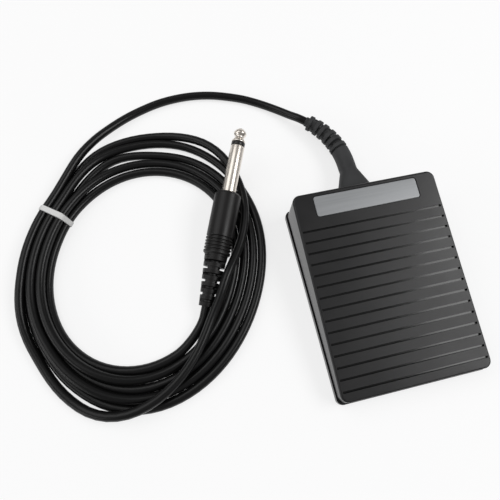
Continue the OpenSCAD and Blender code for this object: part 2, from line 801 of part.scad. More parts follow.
// A wire drops behind the switch, runs in under it and turns to the side of its terminal
module lead_wire(side, terminal, sideways) {
  y = switch_y + switch_l / 2 + terminal * terminal_pitch;
  back = switch_y + switch_l;
  z = switch_z - 0.95;
  tube([
    [boot_x + side * 0.8, jacket_end, exit_h], [boot_x + side * 0.8, jacket_end - 1, exit_h - 0.1],
    [boot_x + side * 1.1, back + 1.6, exit_h - 1.2], [boot_x + side * 1.3, back + 1.1, z + 1.4],
    [side * sideways, back + 0.2, z], [side * sideways, y + 0.9, z], [side * 0.8, y + 0.1, z], [side * 0.25, y, z]
  ], insulation_r, 6);
}
module wire_red() { color("#a8322a") lead_wire(1, 1, 1.4); }
module wire_white() { color("#e4e2dc") lead_wire(-1, 0, 1.5); }

module cable_clamp() {
  color(black) difference() {
    union() {
      translate([boot_x - clamp_w / 2, clamp_y - clamp_l / 2, cradle_top]) cube([clamp_w, clamp_l, clamp_t]);
      translate([boot_x, clamp_y, exit_h]) rotate([90, 0, 0])
        cylinder(r = cord_r + clamp_t, h = clamp_l, center = true);
    }
    translate([boot_x, clamp_y, exit_h]) rotate([90, 0, 0]) cylinder(r = cord_r, h = clamp_l + 1, center = true);
    translate([boot_x - clamp_w, clamp_y - clamp_l, cradle_top - 8]) cube([2 * clamp_w, 2 * clamp_l, 8]);
    for (s = [-1, 1])
      translate([boot_x + s * clamp_screw_x, clamp_y, cradle_top - 1]) cylinder(r = clamp_screw_r + 0.15, h = 6);
  }
}

module clamp_screws() {
  color(steel)
    for (s = [-1, 1])
      translate([boot_x + s * clamp_screw_x, clamp_y, cradle_top + clamp_t])
        countersunk(clamp_screw_r, clamp_t + cradle_top - floor_top - 1);
}

// The jacketed end of the lead, from the strain relief's flange to where it is stripped
module cord_inner() {
  color(soft_black) translate([boot_x, jacket_end, exit_h]) rotate([-90, 0, 0])
    cylinder(r = cord_r, h = up_inner_y - flange_t - jacket_end);
}

// --- Strain relief --------------------------------------------------------------------------
// Places its children at a distance s along the bend, with +Z along the lead and +Y up
module on_bend(s) {
  p = boot_plan(s);
  translate([0, boot_y, exit_h]) rotate([-boot_dip, 0, 0]) translate([p[0], p[1] - boot_y, 0])
    rotate([0, 0, boot_heading(s)]) rotate([-90, 0, 0]) children();
}
function boot_r_at(s) = boot_r + (boot_end_r - boot_r) * max(0, s - ladder_start) / (boot_arc - ladder_start);

function bend_points(from, to, count) = [for (i = [0:count]) dip(boot_plan(from + (to - from) * i / count))];

module ladder_ring(s) {
  on_bend(s) translate([0, 0, -ring_t / 2]) cylinder(r = boot_r_at(s) + 0.15, h = ring_t);
}

// A link between two rings: two webs at the sides, or one web above and below the core
module ladder_link(s, at_sides) {
  r = boot_r_at(s);
  l = ring_pitch - ring_t + 0.6;
  web = 1.5;
  on_bend(s) {
    if (at_sides)
      for (k = [-1, 1]) translate([k * (r - web / 2 - 0.15) - web / 2, -r * 0.42, -l / 2]) cube([web, r * 0.84, l]);
    else
      translate([-r * 0.42, -r * 0.86, -l / 2]) cube([r * 0.84, r * 1.72, l]);
  }
}

module flare() {
  slab_l = 7.5;
  slab_r = flare_h / 2 - 0.2;
  hull() {
    translate([boot_x, boot_y, exit_h]) {
      for (s = [-1, 1])
        translate([s * (flare_w / 2 - slab_r), 0, 0]) rotate([-90, 0, 0]) cylinder(r = slab_r, h = slab_l, $fn = 32);
      rotate([-boot_dip, 0, 0]) translate([0, flare_l - 1, 0]) rotate([-90, 0, 0])
        cylinder(r = boot_r + 0.2, h = 1, $fn = 32);
    }
  }
}

module boot_root() {
  flange_w = neck_w + 2 * flange_grow;
  flange_tall = neck_h + 2 * flange_grow - 1;
  translate([boot_x - flange_w / 2, up_inner_y - flange_t, exit_h - flange_tall / 2])
    cube([flange_w, flange_t, flange_tall]);
  translate([boot_x - neck_w / 2, up_inner_y - 0.1, exit_h - neck_h / 2]) cube([neck_w, upstand_t + 0.6, neck_h]);
}

module cable_boot() {
  color(soft_black) {
    boot_root();
    flare();
    tube(concat([dip([boot_x, boot_y + flare_l - 2])], bend_points(0, ladder_start, 4)), boot_r, 24);
    tube(bend_points(ladder_start - 1, boot_arc, 10), boot_core_r, 16);
    for (i = [0:boot_rings - 1]) ladder_ring(ladder_start + i * ring_pitch);
    for (i = [0:boot_rings - 2]) ladder_link(ladder_start + (i + 0.5) * ring_pitch, i % 2 == 0);
  }
}

// --- Lead and coil --------------------------------------------------------------------------
module cord_lead() { color(soft_black) tube(lead_path, cord_r, 10); }

module cord_coil() { color(soft_black) tube(coil_path, cord_r, 6); }

// A band drawn tight round the two layers of loops
module cord_tie() {
  step = side_step(tie_angle);
  inner = ring_r(tie_angle) + (loop_no(tie_angle) - 5) * step;
  low = cord_r + tie_lift;
  rows = [[inner, low], [inner + 4 * step, low], [inner + 5 * step, low + loop_lift], [inner + step, low + loop_lift]];
  module outline(r) {
    hull() for (p = rows) translate(p) circle(r = r, $fn = 24);
  }
  color("#f2f2ee") translate([coil_mid[0], coil_mid[1], 0]) rotate([0, 0, tie_angle]) rotate([90, 0, 0])
    translate([0, 0, -tie_w / 2]) linear_extrude(tie_w) difference() {
      outline(cord_r + 0.05 + tie_t);
      outline(cord_r + 0.05);
    }
}

// --- Plug -----------------------------------------------------------------------------------
// Its children stand on the tail, with +Z towards the tip
module on_plug() {
  translate(plug_tail) rotate([0, 90 - plug_rise, plug_azimuth]) children();
}

segment = tail_l / tail_segments;
function tail_r_at(z) = tail_r + (handle_r - 0.9 - tail_r) * z / tail_l;

// Each segment is two rings, joined by a web that turns a quarter from one link to the next
module plug_ladder() {
  slot = segment * 0.2;
  cylinder(r = cord_r + 0.8, h = tail_l);
  for (i = [0:tail_segments - 1])
    translate([0, 0, i * segment]) {
      r = tail_r_at((i + 0.5) * segment);
      half = (segment - 2 * slot) / 2;
      cylinder(r1 = r - 0.15, r2 = r, h = half);
      translate([0, 0, half + slot]) cylinder(r1 = r, r2 = r + 0.15, h = half);
      for (k = [-1, 1]) translate([k * (r - 0.9) - 0.7, -r * 0.5, half - 0.1]) cube([1.4, r, slot + 0.2]);
      translate([-r * 0.5, -r * 0.86, 2 * half + slot - 0.1]) cube([r, r * 1.72, slot + 0.2]);
    }
}

module plug_handle() {
  grip = 1.45;
  grip_d = 0.5;
  color(soft_black) on_plug() {
    plug_ladder();
    translate([0, 0, tail_l]) difference() {
      rotate_extrude() polygon([
        [0, 0], [handle_r - 0.5, 0], [handle_r - 0.1, 0.6], [handle_r, 1.2], [handle_r, handle_l - 1.6],
        [handle_r - 0.4, handle_l - 0.6], [handle_r - 1.2, handle_l], [0, handle_l]
      ]);
      for (i = [0:grip_count - 1])
        translate([0, 0, 1.6 + i * grip]) rotate_extrude() translate([handle_r - grip_d, 0]) square([2, grip * 0.5]);
    }
  }
}

tip_l = 7.1;
insulator_l = 1.9;
module plug_sleeve() {
  color("#cfc6b8") on_plug() translate([0, 0, shoulder]) cylinder(r = jack_r, h = jack_l - tip_l - insulator_l);
}
module plug_insulator() {
  color(soft_black) on_plug() translate([0, 0, shoulder + jack_l - tip_l - insulator_l])
    cylinder(r = jack_r, h = insulator_l);
}
// A ball on a narrow waist, then a cone that widens to the shaft
module plug_tip() {
  color("#cfc6b8") on_plug() translate([0, 0, shoulder + jack_l - tip_l]) rotate_extrude() polygon([
    [0, 0], [jack_r, 0], [jack_r, 0.5], [2.2, 2.1], [2.2, 2.8], [2.75, 3.7], [2.95, 4.3], [2.8, 5],
    [2.2, 5.9], [1.3, 6.7], [0.6, tip_l], [0, tip_l]
  ]);
}

base_pan();
rubber_feet();
hinge_pin();
stop_pads();
spring_left();
spring_right();
switch_body();
switch_terminals();
switch_screws();
lever_pin();
switch_lever();
switch_plunger();
wire_red();
wire_white();
cable_clamp();
clamp_screws();
cord_inner();
treadle();
label_plate();
cable_boot();
cord_lead();
cord_coil();
cord_tie();
plug_handle();
plug_sleeve();
plug_insulator();
plug_tip();
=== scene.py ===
# %% [markdown]
# # A foot switch, dressed for a render
# This notebook dresses a small black foot switch: a ribbed treadle on a moulded base, a strain
# relief, nearly two metres of lead in a tied coil, and a jack plug. The solid parts come in as a
# fixed frame, already in metres. Most new pieces are grids of points worked out with numpy,
# because a formula for a surface is short, exact and easy to change. The formulas work in
# millimetres and degrees, and the points become metres when a mesh is made.

# %% Load the frame
import json
import math

import bmesh
import bpy
import numpy as np
from mathutils import Matrix, Vector

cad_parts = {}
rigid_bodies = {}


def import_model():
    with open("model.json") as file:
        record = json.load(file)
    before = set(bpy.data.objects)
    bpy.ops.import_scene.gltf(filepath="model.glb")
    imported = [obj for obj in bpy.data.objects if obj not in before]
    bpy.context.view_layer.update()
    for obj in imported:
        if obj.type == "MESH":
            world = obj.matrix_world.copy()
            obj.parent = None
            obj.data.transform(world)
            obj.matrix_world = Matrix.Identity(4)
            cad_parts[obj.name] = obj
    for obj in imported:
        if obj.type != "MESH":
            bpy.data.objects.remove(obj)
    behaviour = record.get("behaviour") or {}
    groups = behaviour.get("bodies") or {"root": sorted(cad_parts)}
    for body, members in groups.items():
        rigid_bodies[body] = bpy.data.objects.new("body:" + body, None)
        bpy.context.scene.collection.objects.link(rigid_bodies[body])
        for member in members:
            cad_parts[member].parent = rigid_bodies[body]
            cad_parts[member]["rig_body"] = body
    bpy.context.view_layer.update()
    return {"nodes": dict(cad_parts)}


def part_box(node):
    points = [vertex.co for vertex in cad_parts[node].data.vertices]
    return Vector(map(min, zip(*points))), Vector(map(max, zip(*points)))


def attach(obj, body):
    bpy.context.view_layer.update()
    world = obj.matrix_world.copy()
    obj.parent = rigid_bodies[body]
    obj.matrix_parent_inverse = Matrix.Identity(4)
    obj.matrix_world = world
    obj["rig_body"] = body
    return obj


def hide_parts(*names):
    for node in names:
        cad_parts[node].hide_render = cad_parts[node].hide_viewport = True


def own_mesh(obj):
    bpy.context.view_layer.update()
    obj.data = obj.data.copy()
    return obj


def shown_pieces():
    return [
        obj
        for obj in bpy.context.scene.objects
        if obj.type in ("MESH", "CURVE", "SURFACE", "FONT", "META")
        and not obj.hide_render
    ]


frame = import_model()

MM = 0.001

# %% [markdown]
# The camera comes first. It looks down on the pedal and the coil from above and from a little
# to the left. Its three axes are written as a turning matrix, which is the plainest way to fix
# a camera exactly: the columns are its right, its up and its backward direction.

# %% Camera
CAMERA_PLACE = (-0.07613, -0.02794, 0.18447)
CAMERA_RIGHT = (0.97302, -0.22528, 0.04987)
CAMERA_UP = (0.19839, 0.92721, 0.31768)
CAMERA_BACK = (-0.11781, -0.29922, 0.94688)
SENSOR_MM = 36.0
LENS_MM = 30.24
NEAREST_SEEN = 0.005

camera_data = bpy.data.cameras.new("camera")
camera_data.sensor_width = SENSOR_MM
camera_data.lens = LENS_MM
camera_data.clip_start = NEAREST_SEEN
camera = bpy.data.objects.new("camera", camera_data)
bpy.context.scene.collection.objects.link(camera)
turn = Matrix((CAMERA_RIGHT, CAMERA_UP, CAMERA_BACK)).transposed().to_4x4()
camera.matrix_world = Matrix.Translation(CAMERA_PLACE) @ turn
bpy.context.scene.camera = camera
print("camera:", [round(v, 3) for v in CAMERA_PLACE], "lens", LENS_MM, "mm")

# %% [markdown]
# Nearly every shape here is a stack of rings: a cord is a stack of circles along a line, a
# plug is a stack of circles of changing size, and a strain relief is a stack of rings whose
# radius also changes round the ring. One helper joins such a stack into a closed mesh. It
# works on whole arrays, turns the faces outwards by the sign of the enclosed volume, and lays
# a UV map whose U runs round the ring and whose V runs along the stack, in metres.

# %% Helpers for stacks of rings
def ramp(start, end, x):
    """A smooth step from 0 to 1: 3t^2 - 2t^3, where t is the share of the way from start to end."""
    t = np.clip((np.asarray(x, float) - start) / (end - start), 0, 1)
    return t * t * (3 - 2 * t)


def unit(v):
    """Each vector divided by its own length."""
    return v / np.linalg.norm(v, axis=-1, keepdims=True)


def along(path):
    """Distance from the first point of a path to each point, summed over its steps."""
    return np.concatenate([[0], np.cumsum(np.linalg.norm(np.diff(path, axis=0), axis=1))])


def frames_of(path):
    """Heading, side and up of each point: heading is the central difference, side is Z x heading,
    and up is heading x side."""
    heading = unit(np.gradient(path, axis=0))
    side = unit(np.cross([0.0, 0.0, 1.0], heading))
    return heading, side, np.cross(heading, side)


def ring_angles(sides):
    """Angles round a ring, from underneath, so that the seam of the UV map lies below."""
    return np.linspace(0, 2 * np.pi, sides, endpoint=False) - np.pi / 2


def rings_on(path, radius, sides):
    """Rings square to a path: point (i, j) = path_i + radius_ij (cos a_j side_i + sin a_j up_i)."""
    angle = ring_angles(sides)
    radius = np.broadcast_to(np.reshape(radius, (-1, 1)) if np.ndim(radius) < 2 else radius,
                             (len(path), sides))
    _, side, up = frames_of(path)
    cos, sin = np.cos(angle)[None, :, None], np.sin(angle)[None, :, None]
    around = cos * side[:, None] + sin * up[:, None]
    return path[:, None] + radius[..., None] * around


def as_object(name, mesh):
    """A mesh as an object of the scene, at the origin."""
    obj = bpy.data.objects.new(name, mesh)
    bpy.context.scene.collection.objects.link(obj)
    return obj


def skin(name, rings, caps=True, sharp=38):
    """Joins rings of points, in millimetres, into one closed mesh. Face (i, j) has the corners
    (i, j), (i, j + 1), (i + 1, j + 1) and (i + 1, j). The two end rings are filled."""
    rows, columns = rings.shape[:2]
    grid = rings * MM
    points = grid.reshape(-1, 3)
    index = np.arange(rows * columns).reshape(rows, columns)
    right = np.roll(index, -1, axis=1)
    quads = np.stack([index[:-1], right[:-1], right[1:], index[1:]], axis=-1)
    v = along(grid.mean(axis=1))
    round_m = np.linalg.norm(np.roll(grid, -1, 1) - grid, axis=2).sum(1).mean()
    u = np.arange(columns) / columns * round_m
    step = round_m / columns
    uv = np.zeros(quads.shape + (2,))
    uv[..., 0] = u[None, :, None] + np.array([0, step, step, 0])
    uv[..., 1] = np.stack([v[:-1], v[:-1], v[1:], v[1:]], axis=-1)[:, None, :]
    quads, uv = quads.reshape(-1, 4), uv.reshape(-1, 4, 2)
    corner = points[quads]
    volume = (np.einsum("ij,ij->i", corner[:, 0], np.cross(corner[:, 1], corner[:, 2])).sum()
              + np.einsum("ij,ij->i", corner[:, 0], np.cross(corner[:, 2], corner[:, 3])).sum()) / 6
    ends = [index[0][::-1], index[-1]] if caps else []
    if volume < 0:
        quads, uv = quads[:, ::-1], uv[:, ::-1]
        ends = [end[::-1] for end in ends]
    mesh = bpy.data.meshes.new(name)
    mesh.from_pydata(points.tolist(), [], quads.tolist() + [end.tolist() for end in ends])
    loops_in_ends = len(mesh.loops) - uv.shape[0] * 4
    flat = np.concatenate([uv.reshape(-1, 2), np.zeros((loops_in_ends, 2))])
    layer = mesh.uv_layers.new(name="UVMap")
    layer.data.foreach_set("uv", flat.astype(np.float32).ravel())
    mesh.shade_smooth()
    mesh.set_sharp_from_angle(angle=math.radians(sharp))
    obj = as_object(name, mesh)
    print(f"{name}: {len(mesh.vertices)} points, {abs(volume) * 1e9:.0f} mm3")
    return obj


print("a quarter of the way, a ramp from 0 to 1 has reached", float(ramp(0, 1, 0.25)))

# %% [markdown]
# ## The lead
# The lead is 4 mm thick. It leaves the strain relief, sinks to the floor in one easy curve,
# rises onto the coil's upper layer and winds inward for 5.4 loops. Where the coil is tied, every
# second loop lies in the hollow between its neighbours. The free stretch is a short list of
# points. The loops come from a formula in the angle, which keeps neighbours about one thickness
# apart, so that they touch and don't run through each other.

# %% The coil's sizes
CORD_R = 2.0
FLOOR_GAP = 0.03
LOOP_STEP = 4.06
COIL_MID = np.array([-100.6, 35.5])
TURN = 360

# The angle is counted on through all the loops. The innermost full loop ends at COIL_LAST.
COIL_FROM, COIL_TO, COIL_LAST = 134, 2078, 1800

# The tie: its angle, how far it lifts the loops, and over which spread.
TIE_ANGLE, TIE_LIFT, TIE_SPREAD = 142, 0.6, 16

# The innermost loop's radius: a round, a shift, an oval, three lobes, a dent and a bulge.
LOOP_R = 44.4
SHIFT, SHIFT_ANGLE = 2.2, -128
OVAL, OVAL_ANGLE = 3.4, 64
LOBES, LOBES_ANGLE = 0.6, 19
DENT, DENT_SPREAD = 1.2, 34
BULGE, BULGE_ANGLE, BULGE_SPREAD = 1.0, 258, 40

# The upper layer: its height and where it starts, and then, counted from there, the stretch on
# which it rises and the two on which it sinks, by half on each.
LOOP_LIFT, LIFT_FROM = 3.5, 72
LIFT_RISES, LIFT_SINKS, LIFT_SINKS_AGAIN = (0, 66), (138, 206), (162, 214)

# Where the loops part at the far side: bells of (width, angle, spread), the loop numbers
# between which each group of loops begins, and the angles between which the parting begins.
OUTER_BELLS = ((3.4, 68, 30), (1.6, 106, 17))
THIRD_BELLS = ((0.6, 58, 18), (2.55, 98, 17))
FOURTH_BELLS = ((0.5, 80, 30),)
OUTER_BEGINS, THIRD_BEGINS, FOURTH_BEGINS = (1.95, 2.6), (1.2, 1.5), (0.2, 0.5)
FAR_SIDE_BEGINS = (14, 42)

# The first loop: it sinks from the upper layer, lies alone on the floor, climbs and crosses over
# the others to the plug's side, returns outwards and settles at FIRST_ENDS.
FIRST_SINKS, FIRST_IS_DOWN = (176, 222), 300
FIRST_PARTS_FROM = 100
ALONE, ALONE_BEGINS, ALONE_ENDS = 1.2, (212, 242), (244, 284)
FIRST_CLIMBS, FIRST_CROSSES = (236, 266), (236, 312)
FIRST_RETURNS, FIRST_SETTLES, FIRST_ENDS = (326, 418), (404, 440), 440
OVER_R, OVER_H, OVER_ANGLE, OVER_SPREAD = -2.3, 3.8, 331, 19
UPPER_FROM = 20
print(f"coil: {(COIL_TO - COIL_FROM) / TURN:.1f} loops, {LOOP_STEP} mm apart")


# %% The coil's formula
def turned(x):
    """An angle brought back to one turn: what is left when its whole turns are taken off."""
    return x - TURN * np.floor(x / TURN)


def swell(x, mid, spread):
    """A bell round one side of the coil: exp(-(d / spread)^2), d being the angle from mid."""
    d = turned(x - mid + TURN / 2) - TURN / 2
    return np.exp(-(d / spread) ** 2)


def bells(x, rows):
    """The sum of several bells, each times its own width."""
    return sum(width * swell(x, mid, spread) for width, mid, spread in rows)


def lift_at(x):
    """Height of the upper layer over the lower one: full at the tie, nothing on the far side."""
    u = turned(x - LIFT_FROM)
    sunk = 1 - 0.5 * ramp(*LIFT_SINKS, u) - 0.5 * ramp(*LIFT_SINKS_AGAIN, u)
    return LOOP_LIFT * ramp(*LIFT_RISES, u) * sunk


def side_step(x):
    """Sideways distance of two neighbours, so that with the lift they stay LOOP_STEP apart:
    root(LOOP_STEP^2 - lift^2)."""
    return np.sqrt(LOOP_STEP ** 2 - lift_at(x) ** 2)


def ring_r(x):
    """Radius of the innermost loop: a round, then cosines of once, twice and three times the
    angle, less the dent at the tie, plus the bulge."""
    c = lambda a: np.cos(np.radians(a))
    return (LOOP_R + SHIFT * c(x - SHIFT_ANGLE) + OVAL * c(2 * (x - OVAL_ANGLE))
            + LOBES * c(3 * (x - LOBES_ANGLE)) - DENT * swell(x, TIE_ANGLE, DENT_SPREAD)
            + BULGE * swell(x, BULGE_ANGLE, BULGE_SPREAD))


def loop_no(x):
    """How many loops lie inside: the turns that are left until COIL_LAST."""
    return (COIL_LAST - x) / TURN


def slit(x, n):
    """How far loop number n is parted from those inside it: the outer two swing out, and the
    third lies with the inner ones first and with the outer ones after that."""
    outer = ramp(*OUTER_BEGINS, n)
    third = ramp(*THIRD_BEGINS, n) * (1 - outer)
    fourth = ramp(*FOURTH_BEGINS, n) * (1 - ramp(*THIRD_BEGINS, n))
    return ramp(*FAR_SIDE_BEGINS, turned(x)) * (
        outer * bells(x, OUTER_BELLS) + third * bells(x, THIRD_BELLS)
        + fourth * bells(x, FOURTH_BELLS))


def first_out(x, rise):
    """How far the first loop lies outside the innermost one: beside the next loop, further out
    where it lies alone, and in to OVER_R where it crosses over."""
    inside = loop_no(x + TURN)
    beside = (inside * side_step(x) + np.where(x > FIRST_PARTS_FROM, slit(x, inside), 0)
              + np.sqrt(np.maximum(0, LOOP_STEP ** 2 - rise ** 2))
              + ALONE * ramp(*ALONE_BEGINS, x) * (1 - ramp(*ALONE_ENDS, x)))
    return beside + (OVER_R - beside) * (ramp(*FIRST_CROSSES, x) - ramp(*FIRST_RETURNS, x))


def coil_points(x):
    """Centre line at the angles x: the innermost loop's radius plus the loops that lie inside, on
    an upper or lower layer. The first loop lies alone, then crosses over the others."""
    is_first = x < FIRST_ENDS
    rise = np.where(x < FIRST_IS_DOWN, lift_at(x) * (1 - ramp(*FIRST_SINKS, x)), 0)
    over = ((LOOP_STEP + np.where(is_first, lift_at(x), 0)
             + OVER_H * swell(x, OVER_ANGLE, OVER_SPREAD))
            * (ramp(*FIRST_CLIMBS, x) - ramp(*FIRST_SETTLES, x)))
    later_out = loop_no(x) * side_step(x) + slit(x, loop_no(x))
    is_upper = np.floor((x - UPPER_FROM) / TURN) % 2 == 0
    z = (CORD_R + FLOOR_GAP + rise + over + np.where(~is_first & is_upper, lift_at(x), 0)
         + TIE_LIFT * swell(x, TIE_ANGLE, TIE_SPREAD))
    r = ring_r(x) + np.where(is_first, first_out(x, rise), later_out)
    a = np.radians(x)
    return np.stack([COIL_MID[0] + r * np.cos(a), COIL_MID[1] + r * np.sin(a), z], axis=-1)


print(f"neighbours at the tie: {float(lift_at(TIE_ANGLE)):.2f} mm higher or lower and "
      f"{float(side_step(TIE_ANGLE)):.2f} mm apart sideways")

# %% [markdown]
# The strain relief and the plug fix the lead's two ends, so their places are worked out
# before the whole route. A cubic curve with a given heading at both ends joins the innermost
# loop to the plug's tail.

# %% The two ends of the lead
BOOT_X, BOOT_Y, EXIT_H = 1.5, 40.7, 7.5
BOOT_STRAIGHT, BOOT_BEND = 21.3, 36.0
BOOT_TURN, BOOT_DIP = math.radians(49.3), math.radians(2)
BOOT_ARC = BOOT_BEND * BOOT_TURN
PLUG_TAIL = np.array([-78.0, 8.0, 4.0])
PLUG_AZIMUTH, PLUG_RISE = math.radians(67), math.radians(9.6)
PLUG_DIR = np.array([math.cos(PLUG_RISE) * math.cos(PLUG_AZIMUTH),
                     math.cos(PLUG_RISE) * math.sin(PLUG_AZIMUTH), math.sin(PLUG_RISE)])


def boot_line(t):
    """Centre line of the strain relief at distances t from the housing's wall: straight, then an
    arc to the left by the angle s, and the whole dips by two degrees."""
    s = np.maximum(t - BOOT_STRAIGHT, 0) / BOOT_BEND
    x = BOOT_X - BOOT_BEND * (1 - np.cos(s))
    out = np.minimum(t, BOOT_STRAIGHT) + BOOT_BEND * np.sin(s)
    dip = np.where(out > 0, BOOT_DIP, 0)
    return np.stack([x, BOOT_Y + out * np.cos(dip), EXIT_H - out * np.sin(dip)], axis=-1)


boot_end = boot_line(np.array([BOOT_STRAIGHT + BOOT_ARC]))[0]
boot_dir = np.array([-math.sin(BOOT_TURN), math.cos(BOOT_TURN) * math.cos(BOOT_DIP),
                     -math.cos(BOOT_TURN) * math.sin(BOOT_DIP)])
print("lead leaves its strain relief at", np.round(boot_end, 1))


# %% The whole route of the lead
FREE_STRETCH = np.array([
    [-17.5, 95.6, 4.2], [-23.5, 101.3, 2.8], [-30.5, 106.5, 2.2], [-38, 110.8, 2.1],
    [-46, 114, 2.1], [-54.5, 116.5, 2.1], [-63.5, 117.8, 2.1], [-72.5, 117.8, 2.1],
    [-81.5, 116.6, 2.1], [-90, 114.2, 2.1], [-98.5, 110.8, 2.3], [-106.8, 106, 3],
    [-114.4, 100.2, 4.2], [-121.5, 93, 5.3]])
FREE_RINGS, RUN_RINGS, DEGREES_PER_RING = 5, 28, 3.6
LAND_EARLY, RUN_PULL, HEADING_DEGREES = 0.2, 0.8, 2.0
IN_BOOT, IN_PLUG = 6.0, 7.0


def cubic(t, start, start_slope, end, end_slope):
    """The cubic in t that has a given place and a given slope at t = 0 and at t = 1."""
    return ((2 * t ** 3 - 3 * t ** 2 + 1) * start + (t ** 3 - 2 * t ** 2 + t) * start_slope
            + (3 * t ** 2 - 2 * t ** 3) * end + (t ** 3 - t ** 2) * end_slope)


def smooth_line(points, per_step):
    """A Catmull-Rom curve: between two points a cubic whose heading at each point is the slope
    of its neighbours, with the steps' own lengths as the measure of the way."""
    s = along(points)
    slope = np.gradient(points, s, axis=0, edge_order=2)
    t = np.linspace(0, 1, per_step, endpoint=False)[None, :, None]
    h = np.diff(s)[:, None, None]
    body = cubic(t, points[:-1, None], slope[:-1, None] * h, points[1:, None], slope[1:, None] * h)
    return np.concatenate([body.reshape(-1, 3), points[-1:]])


ring_count = round((COIL_TO - COIL_FROM) / DEGREES_PER_RING) + 1
loops = coil_points(np.linspace(COIL_FROM, COIL_TO, ring_count))
first_dir = unit(coil_points(np.array([COIL_FROM + HEADING_DEGREES]))[0] - loops[0])
last_dir = unit(loops[-1] - coil_points(np.array([COIL_TO - HEADING_DEGREES]))[0])
out_of_boot = [boot_end - boot_dir * IN_BOOT, boot_end, boot_end + boot_dir * 2 * CORD_R]
onto_coil = [loops[0] - first_dir * 4 * CORD_R + [0, 0, LAND_EARLY],
             loops[0] - first_dir * 2 * CORD_R, loops[0]]
free = smooth_line(np.concatenate([out_of_boot, FREE_STRETCH, onto_coil]), FREE_RINGS)

run_in = PLUG_TAIL - PLUG_DIR * 2 * CORD_R
pull = np.linalg.norm(run_in - loops[-1]) * RUN_PULL
run = cubic(np.linspace(0, 1, RUN_RINGS)[1:, None], loops[-1], pull * last_dir,
            run_in, pull * PLUG_DIR)
ends = np.stack([PLUG_TAIL, PLUG_TAIL + PLUG_DIR * IN_PLUG])
lead_path = np.concatenate([free[:-1], loops, run, ends])

# %% The lead itself
LEAD_SIDES = 20
lead = skin("lead", rings_on(lead_path, CORD_R, LEAD_SIDES))
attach(lead, "base")
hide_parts("cord_lead", "cord_coil")

# %% [markdown]
# ## The strain relief
# The strain relief is one soft moulding. A flat flare comes out of the housing and narrows to
# a round tube, and the tube ends in a ladder of rings with gaps between them, so that it bends
# like a chain. It could be carved from many cylinders. Here it is one surface instead: its
# radius is a function of the way along it and of the angle round it. In the wide gaps the
# rings hang together by a web on each side, and in the narrow ones by a web above and below.

# %% Sections of the strain relief
FLARE_HALF, FLARE_TALL, FLARE_SLAB, FLARE_L = 8.0, 3.6, 7.5, 16.5
TUBE_R, END_R, CORE_R = 4.1, 3.45, 2.35
FLANGE_BACK, FAR_ON = -3.4, 99

# Distance from the housing's wall, half width and half height, from the flange to the tube. Two
# rows close together make a step.
BOOT_SECTIONS = np.array([
    (FLANGE_BACK, 7.3, 4.1), (-1.45, 7.3, 4.1), (-1.4, 5.75, 3.1), (0, 5.75, 3.1),
    (0.01, FLARE_HALF, FLARE_TALL), (FLARE_SLAB, FLARE_HALF, FLARE_TALL),
    (FLARE_L, TUBE_R + 0.15, TUBE_R + 0.12), (FAR_ON, TUBE_R, TUBE_R)])

# The ladder's rings, and the webs that hold them together. The groove before it is the waist.
LADDER = BOOT_STRAIGHT + 8.15
RING_FROM = LADDER + np.array([0, 3.75, 7.15, 11.35, 14.75, 19.2])
RING_TO = LADDER + np.array([2.0, 5.95, 9.35, 13.55, 16.95, 21.2])
WIDE_GAPS, NARROW_GAPS = (0, 2, 4), (1, 3)
RING_OUT, RING_EDGE = 0.3, 0.3
WEB_AT_SIDES, WEB_ABOVE, WEB_HEIGHT, NARROW_FLOOR, WEB_SOFT = 0.36, 0.4, 0.8, 0.12, 0.2
WAIST_L, WAIST_R, WAIST_EDGE = 0.85, 3.2, 0.22
BOOT_SIDES, NEARLY_ZERO = 72, 1e-6
print(f"strain relief: {len(RING_FROM)} rings, from {LADDER} mm on")


def oblong(half, tall, angle):
    """Radius of a bar with round ends, seen from its middle: the flat side is tall / |sin a|, the
    round end is (half - tall)|cos a| + root(tall^2 - ((half - tall) sin a)^2)."""
    half, tall = np.reshape(half, (-1, 1)), np.reshape(tall, (-1, 1))
    c, s = np.abs(np.cos(angle)), np.maximum(np.abs(np.sin(angle)), NEARLY_ZERO)
    reach_x = half - tall
    end = reach_x * c + np.sqrt(np.maximum(tall ** 2 - (reach_x * s) ** 2, 0))
    return np.where(end * c >= reach_x, end, tall / s)


def between(x, start, end, soft):
    """1 between start and end, 0 outside: a ramp up times one less a ramp, each as wide as soft."""
    half = soft / 2
    return ramp(start - half, start + half, x) * (1 - ramp(end - half, end + half, x))


def web(angle, middle, half_width):
    """1 near two opposite sides of a ring, 0 between them: one less a ramp of the angle to the
    nearer side."""
    d = np.abs((angle - middle + np.pi / 2) % np.pi - np.pi / 2)
    return 1 - ramp(half_width * (1 - WEB_SOFT), half_width * (1 + WEB_SOFT), d)


